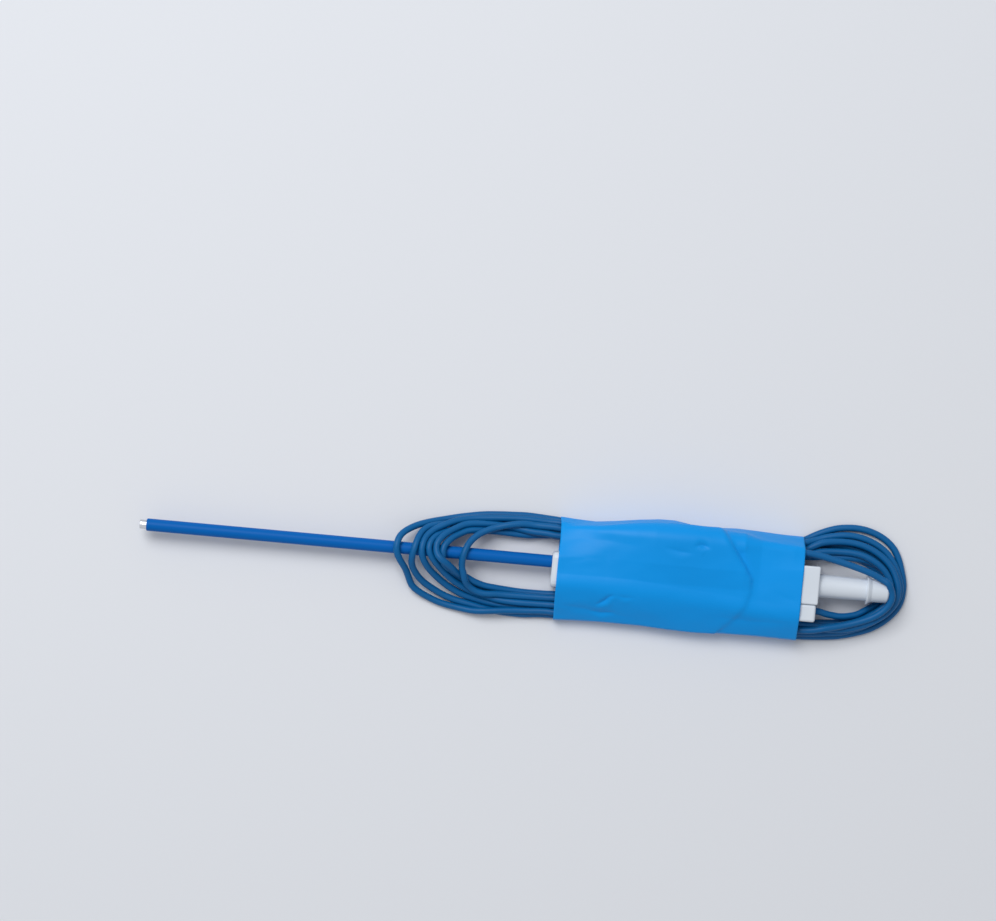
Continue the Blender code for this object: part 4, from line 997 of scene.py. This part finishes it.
def metalMaterial(name, look):
    made = bpy.data.materials.new(name)
    made.use_nodes = True
    tree = made.node_tree
    link = tree.links.new
    shader = tree.nodes["Principled BSDF"]
    shader.inputs["Metallic"].default_value = 1.0
    shader.inputs["Base Color"].default_value = (*look["color"], 1)
    place = tree.nodes.new("ShaderNodeTexCoord")
    mapping = tree.nodes.new("ShaderNodeMapping")
    mapping.inputs["Scale"].default_value = (look["stretch"], 1.0, 1.0)
    link(place.outputs["Object"], mapping.inputs["Vector"])
    lines = tree.nodes.new("ShaderNodeTexNoise")
    lines.inputs["Scale"].default_value = metalSurface["lines"]
    lines.inputs["Detail"].default_value = metalSurface["detail"]
    link(mapping.outputs[0], lines.inputs["Vector"])
    gloss = tree.nodes.new("ShaderNodeMapRange")
    lower, higher = metalSurface["glossRange"]
    gloss.inputs["To Min"].default_value = look["roughness"] + lower
    gloss.inputs["To Max"].default_value = look["roughness"] + higher
    link(lines.outputs[0], gloss.inputs["Value"])
    link(gloss.outputs[0], shader.inputs["Roughness"])
    bump = tree.nodes.new("ShaderNodeBump")
    bump.inputs["Strength"].default_value = metalSurface["bump"]
    bump.inputs["Distance"].default_value = metalSurface["bumpDistance"]
    link(lines.outputs[0], bump.inputs["Height"])
    link(bump.outputs[0], shader.inputs["Normal"])
    return made


materials = {name: plasticMaterial(name, look) for name, look in finishes.items()}
materials.update({name: metalMaterial(name, look) for name, look in metals.items()})
slotOf = {s["node"]: s["material_slot"] for s in frame["record"]["subparts"]}
for name, node in nodes.items():
    for place in node.material_slots:
        place.link = "DATA"
        place.material = materials[slotOf[name]]
cordPiece.data.materials[0] = materials["cord_jacket"]
bpy.data.materials.remove(cordFinish)
for piece in (collar, hoseBarb, gripBlock, gripBush):
    piece.data.materials.append(materials["white_plastic"])
insulation.data.materials.append(materials["tube_insulation"])
sleevePiece.data.materials.append(materials["sleeve_film"])
print("stage: materials")

# Floor, light and backdrop

room = {
    "floorReach": 0.42,
    "floorColor": (0.720, 0.745, 0.795),
    "floorRoughness": 0.9,
    "floorSpecular": 0.2,
    "backdrop": (0.80, 0.84, 0.90),
    "ambient": 0.45,
    "keyPower": 17.0,
    "keyPlace": (-500, 700, 1350),
    "keySize": 0.9,
}

floorMesh = bpy.data.meshes.new("floor")
reach = room["floorReach"]
floorCorners = [(-reach, -reach, 0), (reach, -reach, 0), (reach, reach, 0), (-reach, reach, 0)]
floorMesh.from_pydata(floorCorners, [], [(0, 1, 2, 3)])
floorPiece = bpy.data.objects.new("floor", floorMesh)
floorPiece.location = (camera.location.x, camera.location.y, 0)
bpy.context.collection.objects.link(floorPiece)
floorMaterial = bpy.data.materials.new("floor")
floorMaterial.use_nodes = True
floorShader = floorMaterial.node_tree.nodes["Principled BSDF"]
floorShader.inputs["Base Color"].default_value = (*room["floorColor"], 1)
floorShader.inputs["Roughness"].default_value = room["floorRoughness"]
floorShader.inputs["Specular IOR Level"].default_value = room["floorSpecular"]
floorMesh.materials.append(floorMaterial)

world = bpy.data.worlds.new("studio")
bpy.context.scene.world = world
world.use_nodes = True
tree = world.node_tree
link = tree.links.new
ambient = tree.nodes["Background"]
ambient.inputs["Color"].default_value = (1.0, 1.0, 1.0, 1)
ambient.inputs["Strength"].default_value = room["ambient"]
seen = tree.nodes.new("ShaderNodeBackground")
seen.inputs["Color"].default_value = (*room["backdrop"], 1)
seen.inputs["Strength"].default_value = 1.0
rays = tree.nodes.new("ShaderNodeLightPath")
either = tree.nodes.new("ShaderNodeMath")
either.operation = "MAXIMUM"
link(rays.outputs["Is Camera Ray"], either.inputs[0])
link(rays.outputs["Is Glossy Ray"], either.inputs[1])
orThrough = tree.nodes.new("ShaderNodeMath")
orThrough.operation = "MAXIMUM"
link(either.outputs[0], orThrough.inputs[0])
link(rays.outputs["Is Transmission Ray"], orThrough.inputs[1])
mix = tree.nodes.new("ShaderNodeMixShader")
link(orThrough.outputs[0], mix.inputs[0])
link(ambient.outputs[0], mix.inputs[1])
link(seen.outputs[0], mix.inputs[2])
link(mix.outputs[0], tree.nodes["World Output"].inputs["Surface"])

keyData = bpy.data.lights.new("softbox", "AREA")
keyData.energy = room["keyPower"]
keyData.shape = "SQUARE"
keyData.size = room["keySize"]
key = bpy.data.objects.new("softbox", keyData)
key.location = Vector(room["keyPlace"]) / 1000
key.rotation_euler = (Vector((0, 0, 0)) - key.location).to_track_quat("-Z", "Y").to_euler()
bpy.context.collection.objects.link(key)
bpy.context.scene.view_settings.view_transform = "Standard"
print("stage: light")
